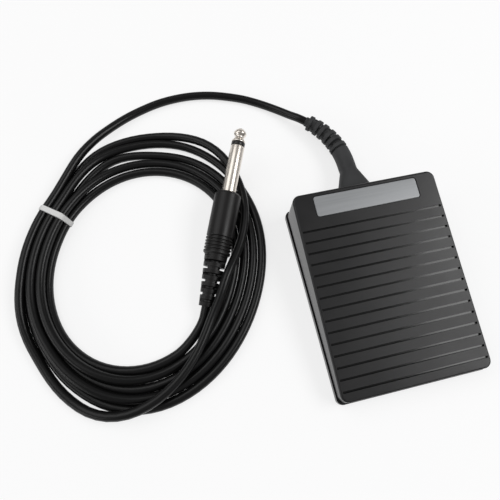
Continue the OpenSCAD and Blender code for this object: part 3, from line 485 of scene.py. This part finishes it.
# %% The strain relief's radius, and its mesh
def boot_radius(t, angle):
    """Flange, neck and flare as oblongs, then a tube, then core + (ring - core) x (in a ring, or on
    a web between two rings)."""
    half, tall = (np.interp(t, BOOT_SECTIONS[:, 0], BOOT_SECTIONS[:, k]) for k in (1, 2))
    head = oblong(half, tall, angle[None])
    waist = between(t, LADDER - WAIST_L, LADDER, WAIST_EDGE)[:, None]
    share = np.clip((t - LADDER) / (RING_TO[-1] - LADDER), 0, 1)
    ring = (TUBE_R + RING_OUT + (END_R - TUBE_R) * share)[:, None]
    in_ring = between(t[:, None], RING_FROM, RING_TO, RING_EDGE).max(axis=1)[:, None]
    wide, narrow = (sum(between(t, RING_TO[i], RING_FROM[i + 1], RING_EDGE) for i in gaps)[:, None]
                    for gaps in (WIDE_GAPS, NARROW_GAPS))
    sides, above = web(angle, 0, WEB_AT_SIDES)[None], web(angle, np.pi / 2, WEB_ABOVE)[None]
    on_web = np.maximum(wide * sides * WEB_HEIGHT,
                        narrow * np.maximum(above * WEB_HEIGHT, NARROW_FLOOR))
    ladder = CORE_R + (ring - CORE_R) * np.maximum(in_ring, on_web)
    return np.where(t[:, None] < LADDER, head - waist * (head - WAIST_R), ladder)


# Rings lie at the flange's steps, evenly on the flare, and close together on the ladder.
FLARE_RINGS, FLARE_STEP, LADDER_STEP = 24, 0.6, 0.11
boot_end_t = BOOT_STRAIGHT + BOOT_ARC
boot_t = np.concatenate([[FLANGE_BACK, -1.46, -1.4, 0, 0.02],
                         np.linspace(FLARE_STEP, FLARE_L, FLARE_RINGS),
                         np.arange(FLARE_L + FLARE_STEP, boot_end_t, LADDER_STEP), [boot_end_t]])
boot_rings = rings_on(boot_line(boot_t), boot_radius(boot_t, ring_angles(BOOT_SIDES)), BOOT_SIDES)
strain_relief = skin("strain_relief", boot_rings, sharp=50)
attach(strain_relief, "base")
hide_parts("cable_boot")

# %% [markdown]
# ## The plug
# The plug's handle is moulded on in one piece: a tapering ladder, five fine grip grooves and a
# smooth barrel. The same idea serves again, with a straight line as the path. The shaft is
# turned metal: a sleeve, a black ring and a tip, each a short profile carried round the axis.

# %% The handle
TAIL_L, HANDLE_L, HANDLE_R, TAIL_R = 22.9, 28.5, 6.0, 3.2
SHOULDER = TAIL_L + HANDLE_L
HANDLE_SIDES = 64

# The ladder: four segments, each a ring, a slot from side to side, a ring and a notch.
SEGMENT = TAIL_L / 4
RING_L, SLOT_L = SEGMENT * 0.33, SEGMENT * 0.17
TAIL_STEP, TAIL_OUT, TAIL_CORE = 0.9, 0.1, CORD_R + 0.75
SLOT_EDGE, NOTCH_EDGE, SLOT_WEB, NOTCH_WEB, CUT_SHARE = 0.24, 0.2, 0.5, 0.6, 0.95

# The barrel: its drawn-in start, its rounded shoulder, and the grip grooves.
START_IN, START_L = 0.45, 0.5
ROUND_IN, ROUND_L = 1.1, 1.5
GRIPS, GRIP_PITCH, GRIPS_FROM = 5, 1.45, 1.45
GRIP_SHARE, GRIP_DEPTH, GRIP_EDGE, GRIPS_MARGIN = 0.46, 0.5, 0.3, 0.4


def on_plug(z):
    """Points on the plug's axis at distances z from its tail."""
    return PLUG_TAIL + np.asarray(z, float)[:, None] * PLUG_DIR


def handle_radius(z, angle):
    """Ladder: taper - cut x (taper - core), where a web takes most of the cut away. Barrel: its
    radius less the grip grooves, drawn in where it meets the ladder and round at the shoulder."""
    taper = TAIL_R + (HANDLE_R - TAIL_STEP - TAIL_R) * np.clip(z / TAIL_L, 0, 1) + TAIL_OUT
    place = z % SEGMENT
    slot = between(place, RING_L, RING_L + SLOT_L, SLOT_EDGE)[:, None]
    notch = (between(place, 2 * RING_L + SLOT_L, SEGMENT + 1, SLOT_EDGE)
             * (1 - between(z, TAIL_L - SLOT_L, TAIL_L + 1, NOTCH_EDGE)))[:, None]
    sides, above = web(angle, 0, SLOT_WEB)[None], web(angle, np.pi / 2, NOTCH_WEB)[None]
    cut = np.maximum(slot * (1 - sides * CUT_SHARE), notch * (1 - above * CUT_SHARE))
    ladder = taper[:, None] - cut * (taper[:, None] - TAIL_CORE)
    x = z - TAIL_L
    barrel = (HANDLE_R - START_IN * (1 - ramp(0, START_L, x))
              - ROUND_IN * ramp(HANDLE_L - ROUND_L, HANDLE_L, x) ** 2)
    grips_to = GRIPS_FROM + GRIP_PITCH * (GRIPS - GRIPS_MARGIN)
    in_grips = (x > GRIPS_FROM - GRIPS_MARGIN) & (x < grips_to)
    place = (x - GRIPS_FROM) % GRIP_PITCH
    groove = between(place, 0, GRIP_PITCH * GRIP_SHARE, GRIP_EDGE) * in_grips
    return np.where(z[:, None] < TAIL_L, ladder, (barrel - GRIP_DEPTH * groove)[:, None])


# Rings lie close together on the ladder, the grips and the round shoulder, and far apart on the
# plain barrel between them.
GRIPS_STEP, GRIPS_SPAN, PLAIN_FROM, PLAIN_TO, ROUND_FROM = 0.1, 10, 10.2, 1.8, 1.6
PLAIN_RINGS, ROUND_RINGS = 8, 12
handle_z = np.concatenate([np.arange(0, TAIL_L - 0.02, LADDER_STEP), [TAIL_L - 0.01, TAIL_L],
                           np.arange(TAIL_L + GRIPS_STEP, TAIL_L + GRIPS_SPAN, GRIPS_STEP),
                           np.linspace(TAIL_L + PLAIN_FROM, SHOULDER - PLAIN_TO, PLAIN_RINGS),
                           np.linspace(SHOULDER - ROUND_FROM, SHOULDER, ROUND_RINGS)])
handle_rings = rings_on(on_plug(handle_z), handle_radius(handle_z, ring_angles(HANDLE_SIDES)),
                        HANDLE_SIDES)
handle = skin("handle_moulding", handle_rings, sharp=50)
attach(handle, "base")
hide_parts("plug_handle")


# %% The shaft
JACK_R, JACK_L, TIP_L, INSULATOR_L = 3.175, 31.6, 7.1, 1.9
SLEEVE_L = JACK_L - TIP_L - INSULATOR_L
TURNED_SIDES = 64


def turned_piece(name, node, start, profile, round_off=1):
    """A profile of (distance, radius) carried round the plug's axis. A finer profile comes from
    the same smooth curve as the lead's."""
    profile = np.array(profile, float)
    if round_off > 1:
        flat = np.column_stack([profile, np.zeros(len(profile))])
        profile = smooth_line(flat, round_off)[:, :2]
    path = on_plug(start + profile[:, 0])
    _, side, up = frames_of(on_plug(np.array([0.0, 1.0])))
    angle = ring_angles(TURNED_SIDES)
    around = np.cos(angle)[:, None] * side[0] + np.sin(angle)[:, None] * up[0]
    obj = skin(name, path[:, None] + profile[:, 1][:, None, None] * around[None], sharp=60)
    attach(obj, "base")
    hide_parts(node)
    return obj


sleeve = turned_piece("shaft_sleeve", "plug_sleeve", SHOULDER, [
    (0, 2.4), (0, JACK_R), (0.8, JACK_R), (SLEEVE_L * 0.5, JACK_R), (SLEEVE_L - 0.35, JACK_R),
    (SLEEVE_L - 0.1, JACK_R - 0.06), (SLEEVE_L, JACK_R - 0.22), (SLEEVE_L, 2.0)])
ring = turned_piece("shaft_ring", "plug_insulator", SHOULDER + SLEEVE_L, [
    (0, 1.9), (0, JACK_R - 0.12), (0.12, JACK_R - 0.04), (INSULATOR_L - 0.12, JACK_R - 0.04),
    (INSULATOR_L, JACK_R - 0.12), (INSULATOR_L, 1.9)])
tip = turned_piece("shaft_tip", "plug_tip", SHOULDER + SLEEVE_L + INSULATOR_L, [
    (0, 2.6), (0.05, 3.08), (0.5, 3.12), (0.9, 2.95), (1.5, 2.5), (2.1, 2.2), (2.6, 2.12),
    (3.1, 2.25), (3.6, 2.6), (4.1, 2.86), (4.5, 2.93), (5.0, 2.78), (5.7, 2.3), (6.3, 1.66),
    (6.8, 1.0), (7.02, 0.5), (7.08, 0.1)], round_off=3)

# %% [markdown]
# ## The tie
# A thin white band holds the coil. It goes straight across the hollows between the loops and
# bends round the outermost and innermost ones, as a band under tension does. Its outline is
# the hull of four circles, which is found here by taking, for each direction, the circle that
# reaches furthest that way.

# %% The tie band
TIE_W, TIE_T, TIE_CLEAR, TIE_BOW = 2.6, 0.45, 0.05, 0.35
TIE_POINTS, TIE_SEAM = 96, 1e-6

# Six strands lie in the tie, one step apart: three low ones at 0, 2 and 4 steps from the inside,
# and three high ones at 1, 3 and 5.
tie_step = float(side_step(TIE_ANGLE))
tie_inner = float(ring_r(TIE_ANGLE) + (loop_no(TIE_ANGLE) - 5) * tie_step)
tie_low = CORD_R + FLOOR_GAP + TIE_LIFT
tie_high = tie_low + LOOP_LIFT
tie_circles = np.array([[tie_inner, tie_low], [tie_inner + 4 * tie_step, tie_low],
                        [tie_inner + 5 * tie_step, tie_high], [tie_inner + tie_step, tie_high]])


def band_outline(radius):
    """Points round the hull of the four circles: for each direction d, the circle whose middle
    reaches furthest along d, plus radius times d."""
    a = np.linspace(0, 2 * np.pi, TIE_POINTS, endpoint=False)
    d = np.stack([np.cos(a), np.sin(a)], axis=-1)
    return tie_circles[np.argmax(d @ tie_circles.T, axis=1)] + radius * d


# The band's section as (share of the thickness, share of the width), from its inner face round.
TIE_SECTION = [(0, -0.5), (0.25, -0.5), (1, -0.42), (1, -0.2), (1, 0.2), (1, 0.42),
               (0.25, 0.5), (0, 0.5)]
inner = band_outline(CORD_R + TIE_CLEAR)
outer = band_outline(CORD_R + TIE_CLEAR + TIE_T)
bow = TIE_BOW * np.sin(np.pi * (inner[:, 0] - tie_inner) / (5 * tie_step))
c, s = math.cos(math.radians(TIE_ANGLE)), math.sin(math.radians(TIE_ANGLE))
band = []
for depth, across in TIE_SECTION:
    flat = inner + (outer - inner) * depth
    sideways = across * TIE_W - bow * (1 if across < 0 else 0.2)
    band.append(np.stack([COIL_MID[0] + flat[:, 0] * c - sideways * s,
                          COIL_MID[1] + flat[:, 0] * s + sideways * c, flat[:, 1]], axis=-1))
band_rings = np.stack(band, axis=1)
tie = skin("tie_band", np.concatenate([band_rings, band_rings[:1]]), caps=False, sharp=50)
merged = bmesh.new()
merged.from_mesh(tie.data)
bmesh.ops.remove_doubles(merged, verts=merged.verts, dist=TIE_SEAM)
merged.to_mesh(tie.data)
merged.free()
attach(tie, "base")
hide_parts("cord_tie")

# %% [markdown]
# The pieces that sit on the lead are printed by name.

# %% The pieces on the lead
print("pieces on the lead:", [o.name for o in (strain_relief, tie, handle, sleeve, ring, tip)])

# %% [markdown]
# ## The housing
# The treadle and the base are moulded shells, and the frame has them with every rib, lug and
# groove. What a real moulding has besides is a small rounding on each edge, which catches the
# light. A copy of each solid gets its loose corners merged and a Bevel on its sharp edges.

# %% Rounded copies of the mouldings
SAME_POINT, SAME_PLANE = 2e-6, math.radians(0.6)
BEVEL_FROM, BEVEL_SEGMENTS = math.radians(35), 2
TREADLE_EDGE, BASE_EDGE = 0.16, 0.35


def moulded_copy(name, node, width_mm):
    """A merged copy of a solid, with its flat faces joined and its sharp edges rounded."""
    source = frame["nodes"][node]
    obj = as_object(name, source.data.copy())
    work = bmesh.new()
    work.from_mesh(obj.data)
    bmesh.ops.remove_doubles(work, verts=work.verts, dist=SAME_POINT)
    bmesh.ops.dissolve_limit(work, angle_limit=SAME_PLANE, verts=work.verts, edges=work.edges)
    work.to_mesh(obj.data)
    work.free()
    obj.data.materials.clear()
    obj.data.shade_smooth()
    bevel = obj.modifiers.new("rounded edges", "BEVEL")
    bevel.width = width_mm * MM
    bevel.segments = BEVEL_SEGMENTS
    bevel.limit_method = "ANGLE"
    bevel.angle_limit = BEVEL_FROM
    bevel.use_clamp_overlap = True
    normals = obj.modifiers.new("flat faces stay flat", "WEIGHTED_NORMAL")
    normals.keep_sharp = True
    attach(obj, source["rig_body"])
    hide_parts(node)
    print(f"{name}: {len(obj.data.polygons)} faces from {node}")
    return obj


treadle = moulded_copy("treadle_shell", "treadle", TREADLE_EDGE)
moulded_copy("base_shell", "base_pan", BASE_EDGE)

# %% [markdown]
# The treadle has three finishes. Its top is grained, its side walls are smoother, and the
# grooves are glossy inside, so they mirror the room as dark or bright lines. Their colour is
# also darker than the top's, a painted shade for the hollows. A face belongs to a groove if its
# middle lies under the plane of the top by less than a groove's depth, and clear of the name
# plate's recess. It belongs to a side wall if it stands steeply.

# %% Faces of the grooves and of the side walls
REAR_Y, REAR_H, HEEL_H, TREADLE_L = 43.5, 21.5, 9.5, 87
SLOPE = math.atan((REAR_H - HEEL_H) / TREADLE_L)
GROOVE_D, GROOVES_FROM, GROOVES_HALF, PLANE_MARGIN = 0.9, 15.0, 31.9, 0.05
STEEP = 0.4

faces = treadle.data.polygons
centres = np.array([face.center[:] for face in faces]) / MM
ahead, below = REAR_Y - centres[:, 1], REAR_H - centres[:, 2]
down_slope = ahead * math.cos(SLOPE) + below * math.sin(SLOPE)
under_top = below * math.cos(SLOPE) - ahead * math.sin(SLOPE)
in_groove = ((under_top > PLANE_MARGIN) & (under_top < GROOVE_D + PLANE_MARGIN)
             & (down_slope > GROOVES_FROM) & (np.abs(centres[:, 0]) < GROOVES_HALF))
upward = np.array([face.normal[2] for face in faces])
on_side = (np.abs(upward) < STEEP) & ~in_groove
print("faces inside the grooves:", int(in_groove.sum()), "on the side walls:", int(on_side.sum()))

# %% [markdown]
# The name plate is a thin bright sheet with round corners, set in its recess. It is left bare.
# A stack of rounded rectangles makes it, the upper ones drawn in for the turned-down edge.

# %% The name plate
PLATE_W, PLATE_D, PLATE_R, PLATE_T = 47.5, 9.1, 1.1, 0.5
PLATE_GAP, PLATE_SINK = 2.0, 0.15
CORNER_STEPS = 9
PLATE_EDGE = [(0, 0), (0.3, 0), (0.42, 0.04), (0.48, 0.12), (PLATE_T, 0.24)]


def rounded_rectangle(w, d, r):
    """Points of a rectangle with round corners: each corner's middle plus r times a direction.
    The corner is the one that the direction's two signs point to."""
    a = np.linspace(0, 2 * np.pi, 4 * CORNER_STEPS, endpoint=False) + np.pi / (4 * CORNER_STEPS)
    x = np.sign(np.cos(a)) * (w / 2 - r) + r * np.cos(a)
    y = np.sign(np.sin(a)) * (d / 2 - r) + r * np.sin(a)
    return np.stack([x, y], axis=-1)


plate_rows = []
for height, inset in PLATE_EDGE:
    flat = rounded_rectangle(PLATE_W - 2 * inset, PLATE_D - 2 * inset, PLATE_R - inset / 2)
    down = flat[:, 1] - PLATE_GAP - PLATE_D / 2
    up_z = height - PLATE_T - PLATE_SINK
    plate_rows.append(np.stack([
        flat[:, 0], REAR_Y + down * math.cos(SLOPE) - up_z * math.sin(SLOPE),
        REAR_H + down * math.sin(SLOPE) + up_z * math.cos(SLOPE)], axis=-1))
plate = skin("name_plate", np.stack(plate_rows), sharp=60)
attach(plate, "treadle")
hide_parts("label_plate")

# %% [markdown]
# ## Inside
# Two coil springs push the treadle up, and two thin wires run to the switch. The springs are
# drawn as helices of round wire, each as tall as its solid.

# %% Springs
SPRING_R, WIRE_R, SPRING_TURNS, WIRE_SIDES, POINTS_PER_TURN = 4.0, 0.4, 6, 10, 28
SPRING_X, SPRING_Y, SEAT_EDGE = 16, 12.5, 1.0
FLAT_TURN, END_TURN, RAMP_SHARE = 0.08, 0.1, 0.35


def helix(low, high, x, y):
    """A spring's line: its middle radius round Z. The height is a mix of a smooth and a straight
    ramp, which both start late and end early, so the end turns lie flat."""
    t = np.linspace(0, 1, SPRING_TURNS * POINTS_PER_TURN + 1)
    straight = np.clip((t - END_TURN) / (1 - 2 * END_TURN), 0, 1)
    rise = ramp(FLAT_TURN, 1 - FLAT_TURN, t) * RAMP_SHARE + (1 - RAMP_SHARE) * straight
    a = 2 * np.pi * SPRING_TURNS * t
    r = SPRING_R - WIRE_R
    z = low + WIRE_R + (high - low - 2 * WIRE_R) * rise
    return np.stack([x + r * np.cos(a), y + r * np.sin(a), z], axis=-1)


for name, node in (("spring_coil_left", "spring_left"), ("spring_coil_right", "spring_right")):
    low, high = (np.array(corner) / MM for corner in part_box(node))
    x = math.copysign(SPRING_X, low[0] + high[0])
    line = helix(low[2], high[2], x, SPRING_Y)
    spring = skin(name, rings_on(line, WIRE_R, WIRE_SIDES))
    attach(spring, "base")
    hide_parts(node)
    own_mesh(spring)

# %% Wires to the switch
COVER_R, COVER_GAP, COVER_SIDES, STEPS_PER_POINT = 0.48, 0.5, 12, 5

# For each piece: the solid it stands for, its slot and its points.
WIRE_POINTS = {
    "core_red": ("wire_red", "wire_red", [
        (2.3, 29.9, 7.5), (2.3, 28.9, 7.4), (2.6, 27.9, 6.3), (2.8, 27.4, 4.95),
        (1.4, 26.5, 3.55), (1.4, 25.92, 3.55), (0.8, 25.12, 3.55), (0.25, 25.02, 3.55)]),
    "core_white": ("wire_white", "wire_white", [
        (0.7, 29.9, 7.5), (0.7, 28.9, 7.4), (0.4, 27.9, 6.3), (0.2, 27.4, 4.95),
        (-1.5, 26.5, 3.55), (-1.5, 20.8, 3.55), (-0.8, 20.0, 3.55), (-0.25, 19.9, 3.55)]),
}
for name, (node, slot, points) in WIRE_POINTS.items():
    low, high = (np.array(corner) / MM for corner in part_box(node))
    line = smooth_line(np.array(points), STEPS_PER_POINT)
    line = np.clip(line, low + COVER_GAP, high - COVER_GAP)
    wire = skin(name, rings_on(line, COVER_R, COVER_SIDES))
    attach(wire, "base")
    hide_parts(node)

# %% [markdown]
# ## Finishes
# Each finish is built from nodes. Most lie on Object coordinates, which sit on a piece from
# every side. The lead's and the shaft's lie on the UV map, so that their grain runs along or
# round the piece. Two noises do the work: a slow one varies colour and roughness a little, and
# a fine one gives the grain of the mould as a bump.

# %% Node helpers
NOISE_FROM, NOISE_TO, NOISE_ROUGHNESS = 0.3, 0.7, 0.55
SLOW_DETAIL, FINE_DETAIL, BUMP_MM = 3.0, 2.0, 0.05


def new_material(name):
    """A new material, its node tree and its Principled shader."""
    material = bpy.data.materials.new(name)
    material.use_nodes = True
    tree = material.node_tree
    return material, tree, tree.nodes["Principled BSDF"]


def add(tree, kind, **values):
    """A new node. A value goes to the setting of that name, or else to the input of that name."""
    node = tree.nodes.new(kind)
    for key, value in values.items():
        if hasattr(node, key):
            setattr(node, key, value)
        else:
            node.inputs[key.replace("_", " ")].default_value = value
    return node


def noise(tree, size_mm, detail, stretch, source):
    """A noise on Object coordinates or on the UV map, stretched by a Mapping node. Its scale is
    one over the size of its clouds."""
    place = add(tree, "ShaderNodeTexCoord")
    mapping = add(tree, "ShaderNodeMapping", Scale=stretch)
    made = add(tree, "ShaderNodeTexNoise", Scale=1 / (size_mm * MM), Detail=detail,
               Roughness=NOISE_ROUGHNESS)
    tree.links.new(place.outputs[source], mapping.inputs["Vector"])
    tree.links.new(mapping.outputs["Vector"], made.inputs["Vector"])
    return made.outputs["Fac"]


def spread_of(tree, value, low, high):
    """A noise's middle range carried over to low..high."""
    node = add(tree, "ShaderNodeMapRange", From_Min=NOISE_FROM, From_Max=NOISE_TO, To_Min=low,
               To_Max=high)
    tree.links.new(value, node.inputs["Value"])
    return node.outputs["Result"]


def tinted(tree, value, dark, light):
    """A colour between dark and light by a noise's middle range."""
    node = add(tree, "ShaderNodeValToRGB")
    low, high = node.color_ramp.elements
    low.position, high.position = NOISE_FROM, NOISE_TO
    low.color, high.color = (*dark, 1), (*light, 1)
    tree.links.new(value, node.inputs["Fac"])
    return node.outputs["Color"]


def moulded(name, dark, light, rough, grain_mm, bump, specular=0.5, stretch=(1, 1, 1),
            source="Object", metallic=0.0, cloud_mm=14):
    """A finish with a slow cloud in colour and roughness and a fine grain in the bump."""
    material, tree, shader = new_material(name)
    slow = noise(tree, cloud_mm, SLOW_DETAIL, stretch, source)
    fine = noise(tree, grain_mm, FINE_DETAIL, stretch, source)
    tree.links.new(tinted(tree, slow, dark, light), shader.inputs["Base Color"])
    tree.links.new(spread_of(tree, slow, *rough), shader.inputs["Roughness"])
    height = add(tree, "ShaderNodeBump", Strength=bump, Distance=BUMP_MM * MM)
    tree.links.new(fine, height.inputs["Height"])
    tree.links.new(height.outputs["Normal"], shader.inputs["Normal"])
    shader.inputs["Specular IOR Level"].default_value = specular
    shader.inputs["Metallic"].default_value = metallic
    return material


print("of each noise, the range used is", NOISE_FROM, "to", NOISE_TO)

# %% The finishes
# Dark and light colour, roughness from and to, size of the grain, strength of the bump, and
# what differs from the usual.
FINISH_ROWS = {
    "housing_black": ((0.0085, 0.0085, 0.009), (0.0125, 0.012, 0.0125), (0.32, 0.40), 0.45, 0.3,
                      dict(specular=0.45, cloud_mm=22)),
    "side_black": ((0.0085, 0.0085, 0.009), (0.0125, 0.012, 0.0125), (0.22, 0.28), 0.45, 0.12,
                   dict(cloud_mm=22)),
    # The groove finish is glossy, and its colour is darker than the housing's: a painted shade for
    # the grooves' hollows.
    "groove_gloss_painted_shade": ((0.002, 0.002, 0.002), (0.004, 0.004, 0.004), (0.12, 0.18), 0.4, 0.03, {}),
    "boot_rubber": ((0.030, 0.031, 0.032), (0.050, 0.051, 0.053), (0.52, 0.66), 0.35, 0.4,
                    dict(specular=0.45)),
    "handle_black": ((0.006, 0.0055, 0.0055), (0.010, 0.009, 0.009), (0.36, 0.46), 0.4, 0.35,
                     dict(specular=0.36)),
    "lead_black": ((0.005, 0.005, 0.0051), (0.008, 0.008, 0.0082), (0.24, 0.34), 0.5, 0.2,
                   dict(specular=0.3, stretch=(1.6, 0.05, 1), source="UV", cloud_mm=3)),
    "ring_black": ((0.01, 0.009, 0.009), (0.016, 0.014, 0.013), (0.3, 0.4), 0.4, 0.2, {}),
    "shaft_nickel": ((0.83, 0.77, 0.70), (0.86, 0.80, 0.73), (0.31, 0.33), 0.12, 0.001,
                     dict(stretch=(0.02, 1, 1), source="UV", metallic=1.0, cloud_mm=1.6)),
    "plate_satin": ((0.35, 0.36, 0.37), (0.40, 0.41, 0.42), (0.5, 0.58), 0.16, 0.2,
                    dict(stretch=(0.03, 1, 1), metallic=0.6, cloud_mm=0.8)),
    "tie_white": ((0.88, 0.88, 0.87), (0.93, 0.93, 0.92), (0.38, 0.5), 0.5, 0.3, {}),
    "foot_rubber": ((0.012, 0.012, 0.012), (0.022, 0.022, 0.022), (0.7, 0.85), 0.5, 0.5, {}),
    "bright_steel": ((0.50, 0.50, 0.51), (0.62, 0.62, 0.62), (0.2, 0.34), 0.2, 0.15,
                     dict(metallic=1.0, cloud_mm=4)),
    "contact_brass": ((0.58, 0.42, 0.16), (0.70, 0.53, 0.24), (0.25, 0.4), 0.2, 0.15,
                      dict(metallic=1.0, cloud_mm=2)),
    "switch_grey": ((0.025, 0.028, 0.034), (0.04, 0.044, 0.052), (0.45, 0.6), 0.3, 0.3, {}),
    "plunger_red": ((0.36, 0.04, 0.03), (0.46, 0.06, 0.045), (0.35, 0.5), 0.3, 0.2, {}),
    "wire_red_pvc": ((0.36, 0.025, 0.02), (0.45, 0.04, 0.03), (0.4, 0.55), 0.4, 0.2, {}),
    "wire_white_pvc": ((0.7, 0.69, 0.66), (0.8, 0.79, 0.76), (0.4, 0.55), 0.4, 0.2, {}),
}
FINISHES = {name: moulded(name, *row, **special) for name, (*row, special) in FINISH_ROWS.items()}
print("finishes:", len(FINISHES))

# %% Which piece has which finish
PIECES_IN = {
    "housing_black": ("treadle_shell", "cable_clamp"), "side_black": ("base_shell",),
    "boot_rubber": ("strain_relief",), "lead_black": ("lead", "cord_inner"),
    "handle_black": ("handle_moulding",), "shaft_nickel": ("shaft_sleeve", "shaft_tip"),
    "ring_black": ("shaft_ring",), "plate_satin": ("name_plate",), "tie_white": ("tie_band",),
    "foot_rubber": ("rubber_feet", "stop_pads"), "switch_grey": ("switch_body",),
    "bright_steel": ("spring_coil_left", "spring_coil_right", "hinge_pin", "switch_screws",
                     "lever_pin", "switch_lever", "clamp_screws"),
    "contact_brass": ("switch_terminals",), "plunger_red": ("switch_plunger",),
    "wire_red_pvc": ("core_red",), "wire_white_pvc": ("core_white",),
}
DRESS = {piece: finish for finish, pieces in PIECES_IN.items() for piece in pieces}
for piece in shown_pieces():
    piece.data.materials.clear()
    piece.data.materials.append(FINISHES[DRESS[piece.name]])
# The groove faces get the glossy finish with the painted shade.
treadle.data.materials.append(FINISHES["groove_gloss_painted_shade"])
treadle.data.materials.append(FINISHES["side_black"])
treadle.data.polygons.foreach_set("material_index", (in_groove + 2 * on_side).astype(np.int32))

# %% [markdown]
# ## Floor and light
# The pedal lies on a pale table in an even white surround. Three soft lamps light it: a softbox
# high on the right gives the treadle's top its sheen, a low bright wall on the left lights the
# sloped sides, and a wide window behind lights the lead and the label plate. The floor is light
# grey by its own colour. A glow for camera and mirror rays carries it to white, without any more
# light on the object, and lets a soft shadow stay.

# %% Floor
FLOOR_HALF, FLOOR_GREY, FLOOR_ROUGH, FLOOR_SPECULAR = 1.6, (0.34, 0.34, 0.342, 1), 0.9, 0.1
FLOOR_GLOW, WHITE = 0.73, (1, 1, 1, 1)


def seen_by(tree, first, *others):
    """1 for the rays that are named, 0 for the rest: the maximum of their outputs."""
    rays = add(tree, "ShaderNodeLightPath")
    seen = rays.outputs[first]
    for kind in others:
        larger = add(tree, "ShaderNodeMath", operation="MAXIMUM")
        tree.links.new(seen, larger.inputs[0])
        tree.links.new(rays.outputs[kind], larger.inputs[1])
        seen = larger.outputs[0]
    return seen


floor_mesh = bpy.data.meshes.new("floor")
floor_mesh.from_pydata([(x * FLOOR_HALF, y * FLOOR_HALF, 0) for x, y in
                        ((-1, -1), (1, -1), (1, 1), (-1, 1))], [], [(0, 1, 2, 3)])
floor = as_object("floor", floor_mesh)
material, tree, shader = new_material("table_white")
shader.inputs["Base Color"].default_value = FLOOR_GREY
shader.inputs["Roughness"].default_value = FLOOR_ROUGH
shader.inputs["Specular IOR Level"].default_value = FLOOR_SPECULAR
seen = seen_by(tree, "Is Camera Ray", "Is Glossy Ray", "Is Transmission Ray")
glow = add(tree, "ShaderNodeMath", operation="MULTIPLY")
glow.inputs[1].default_value = FLOOR_GLOW
tree.links.new(seen, glow.inputs[0])
shader.inputs["Emission Color"].default_value = WHITE
tree.links.new(glow.outputs[0], shader.inputs["Emission Strength"])
floor.data.materials.append(material)
print("floor:", 2 * FLOOR_HALF, "m square")

# %% Surround
SURROUND_LIGHT, SURROUND_SEEN = 0.22, 1.0

world = bpy.data.worlds.new("white room")
bpy.context.scene.world = world
world.use_nodes = True
tree = world.node_tree
background = tree.nodes["Background"]
background.inputs["Color"].default_value = WHITE
seen = seen_by(tree, "Is Camera Ray", "Is Transmission Ray")
strength = add(tree, "ShaderNodeMapRange", To_Min=SURROUND_LIGHT, To_Max=SURROUND_SEEN)
tree.links.new(seen, strength.inputs["Value"])
tree.links.new(strength.outputs["Result"], background.inputs["Strength"])
print("surround:", SURROUND_LIGHT, "as light,", SURROUND_SEEN, "as seen")

# %% Lamps
LAMP_AWAY = 1.1


def lamp(name, target, direction, size, watts):
    """An oblong soft lamp, placed from its target along a direction and turned to face it."""
    data = bpy.data.lights.new(name, "AREA")
    data.shape = "RECTANGLE"
    data.size, data.size_y = size
    data.energy = watts
    obj = bpy.data.objects.new(name, data)
    bpy.context.scene.collection.objects.link(obj)
    back = Vector(direction).normalized()
    facing = back.to_track_quat("Z", "Y").to_matrix().to_4x4()
    obj.matrix_world = Matrix.Translation(Vector(target) + back * LAMP_AWAY) @ facing
    print(f"{name}: {watts} W, {LAMP_AWAY} m away")


# Each lamp's name, target, direction, size in metres, and watts.
lamp("softbox", (0, 0, 0), (0.64, -0.12, 0.76), (0.75, 0.46), 4.9)
lamp("left wall", (-0.05, 0, 0), (-0.93, -0.12, 0.34), (0.9, 0.3), 2.0)
lamp("window", (-0.06, 0.04, 0), (-0.45, 0.36, 0.82), (0.9, 0.8), 3.0)
bpy.context.scene.view_settings.view_transform = "Standard"
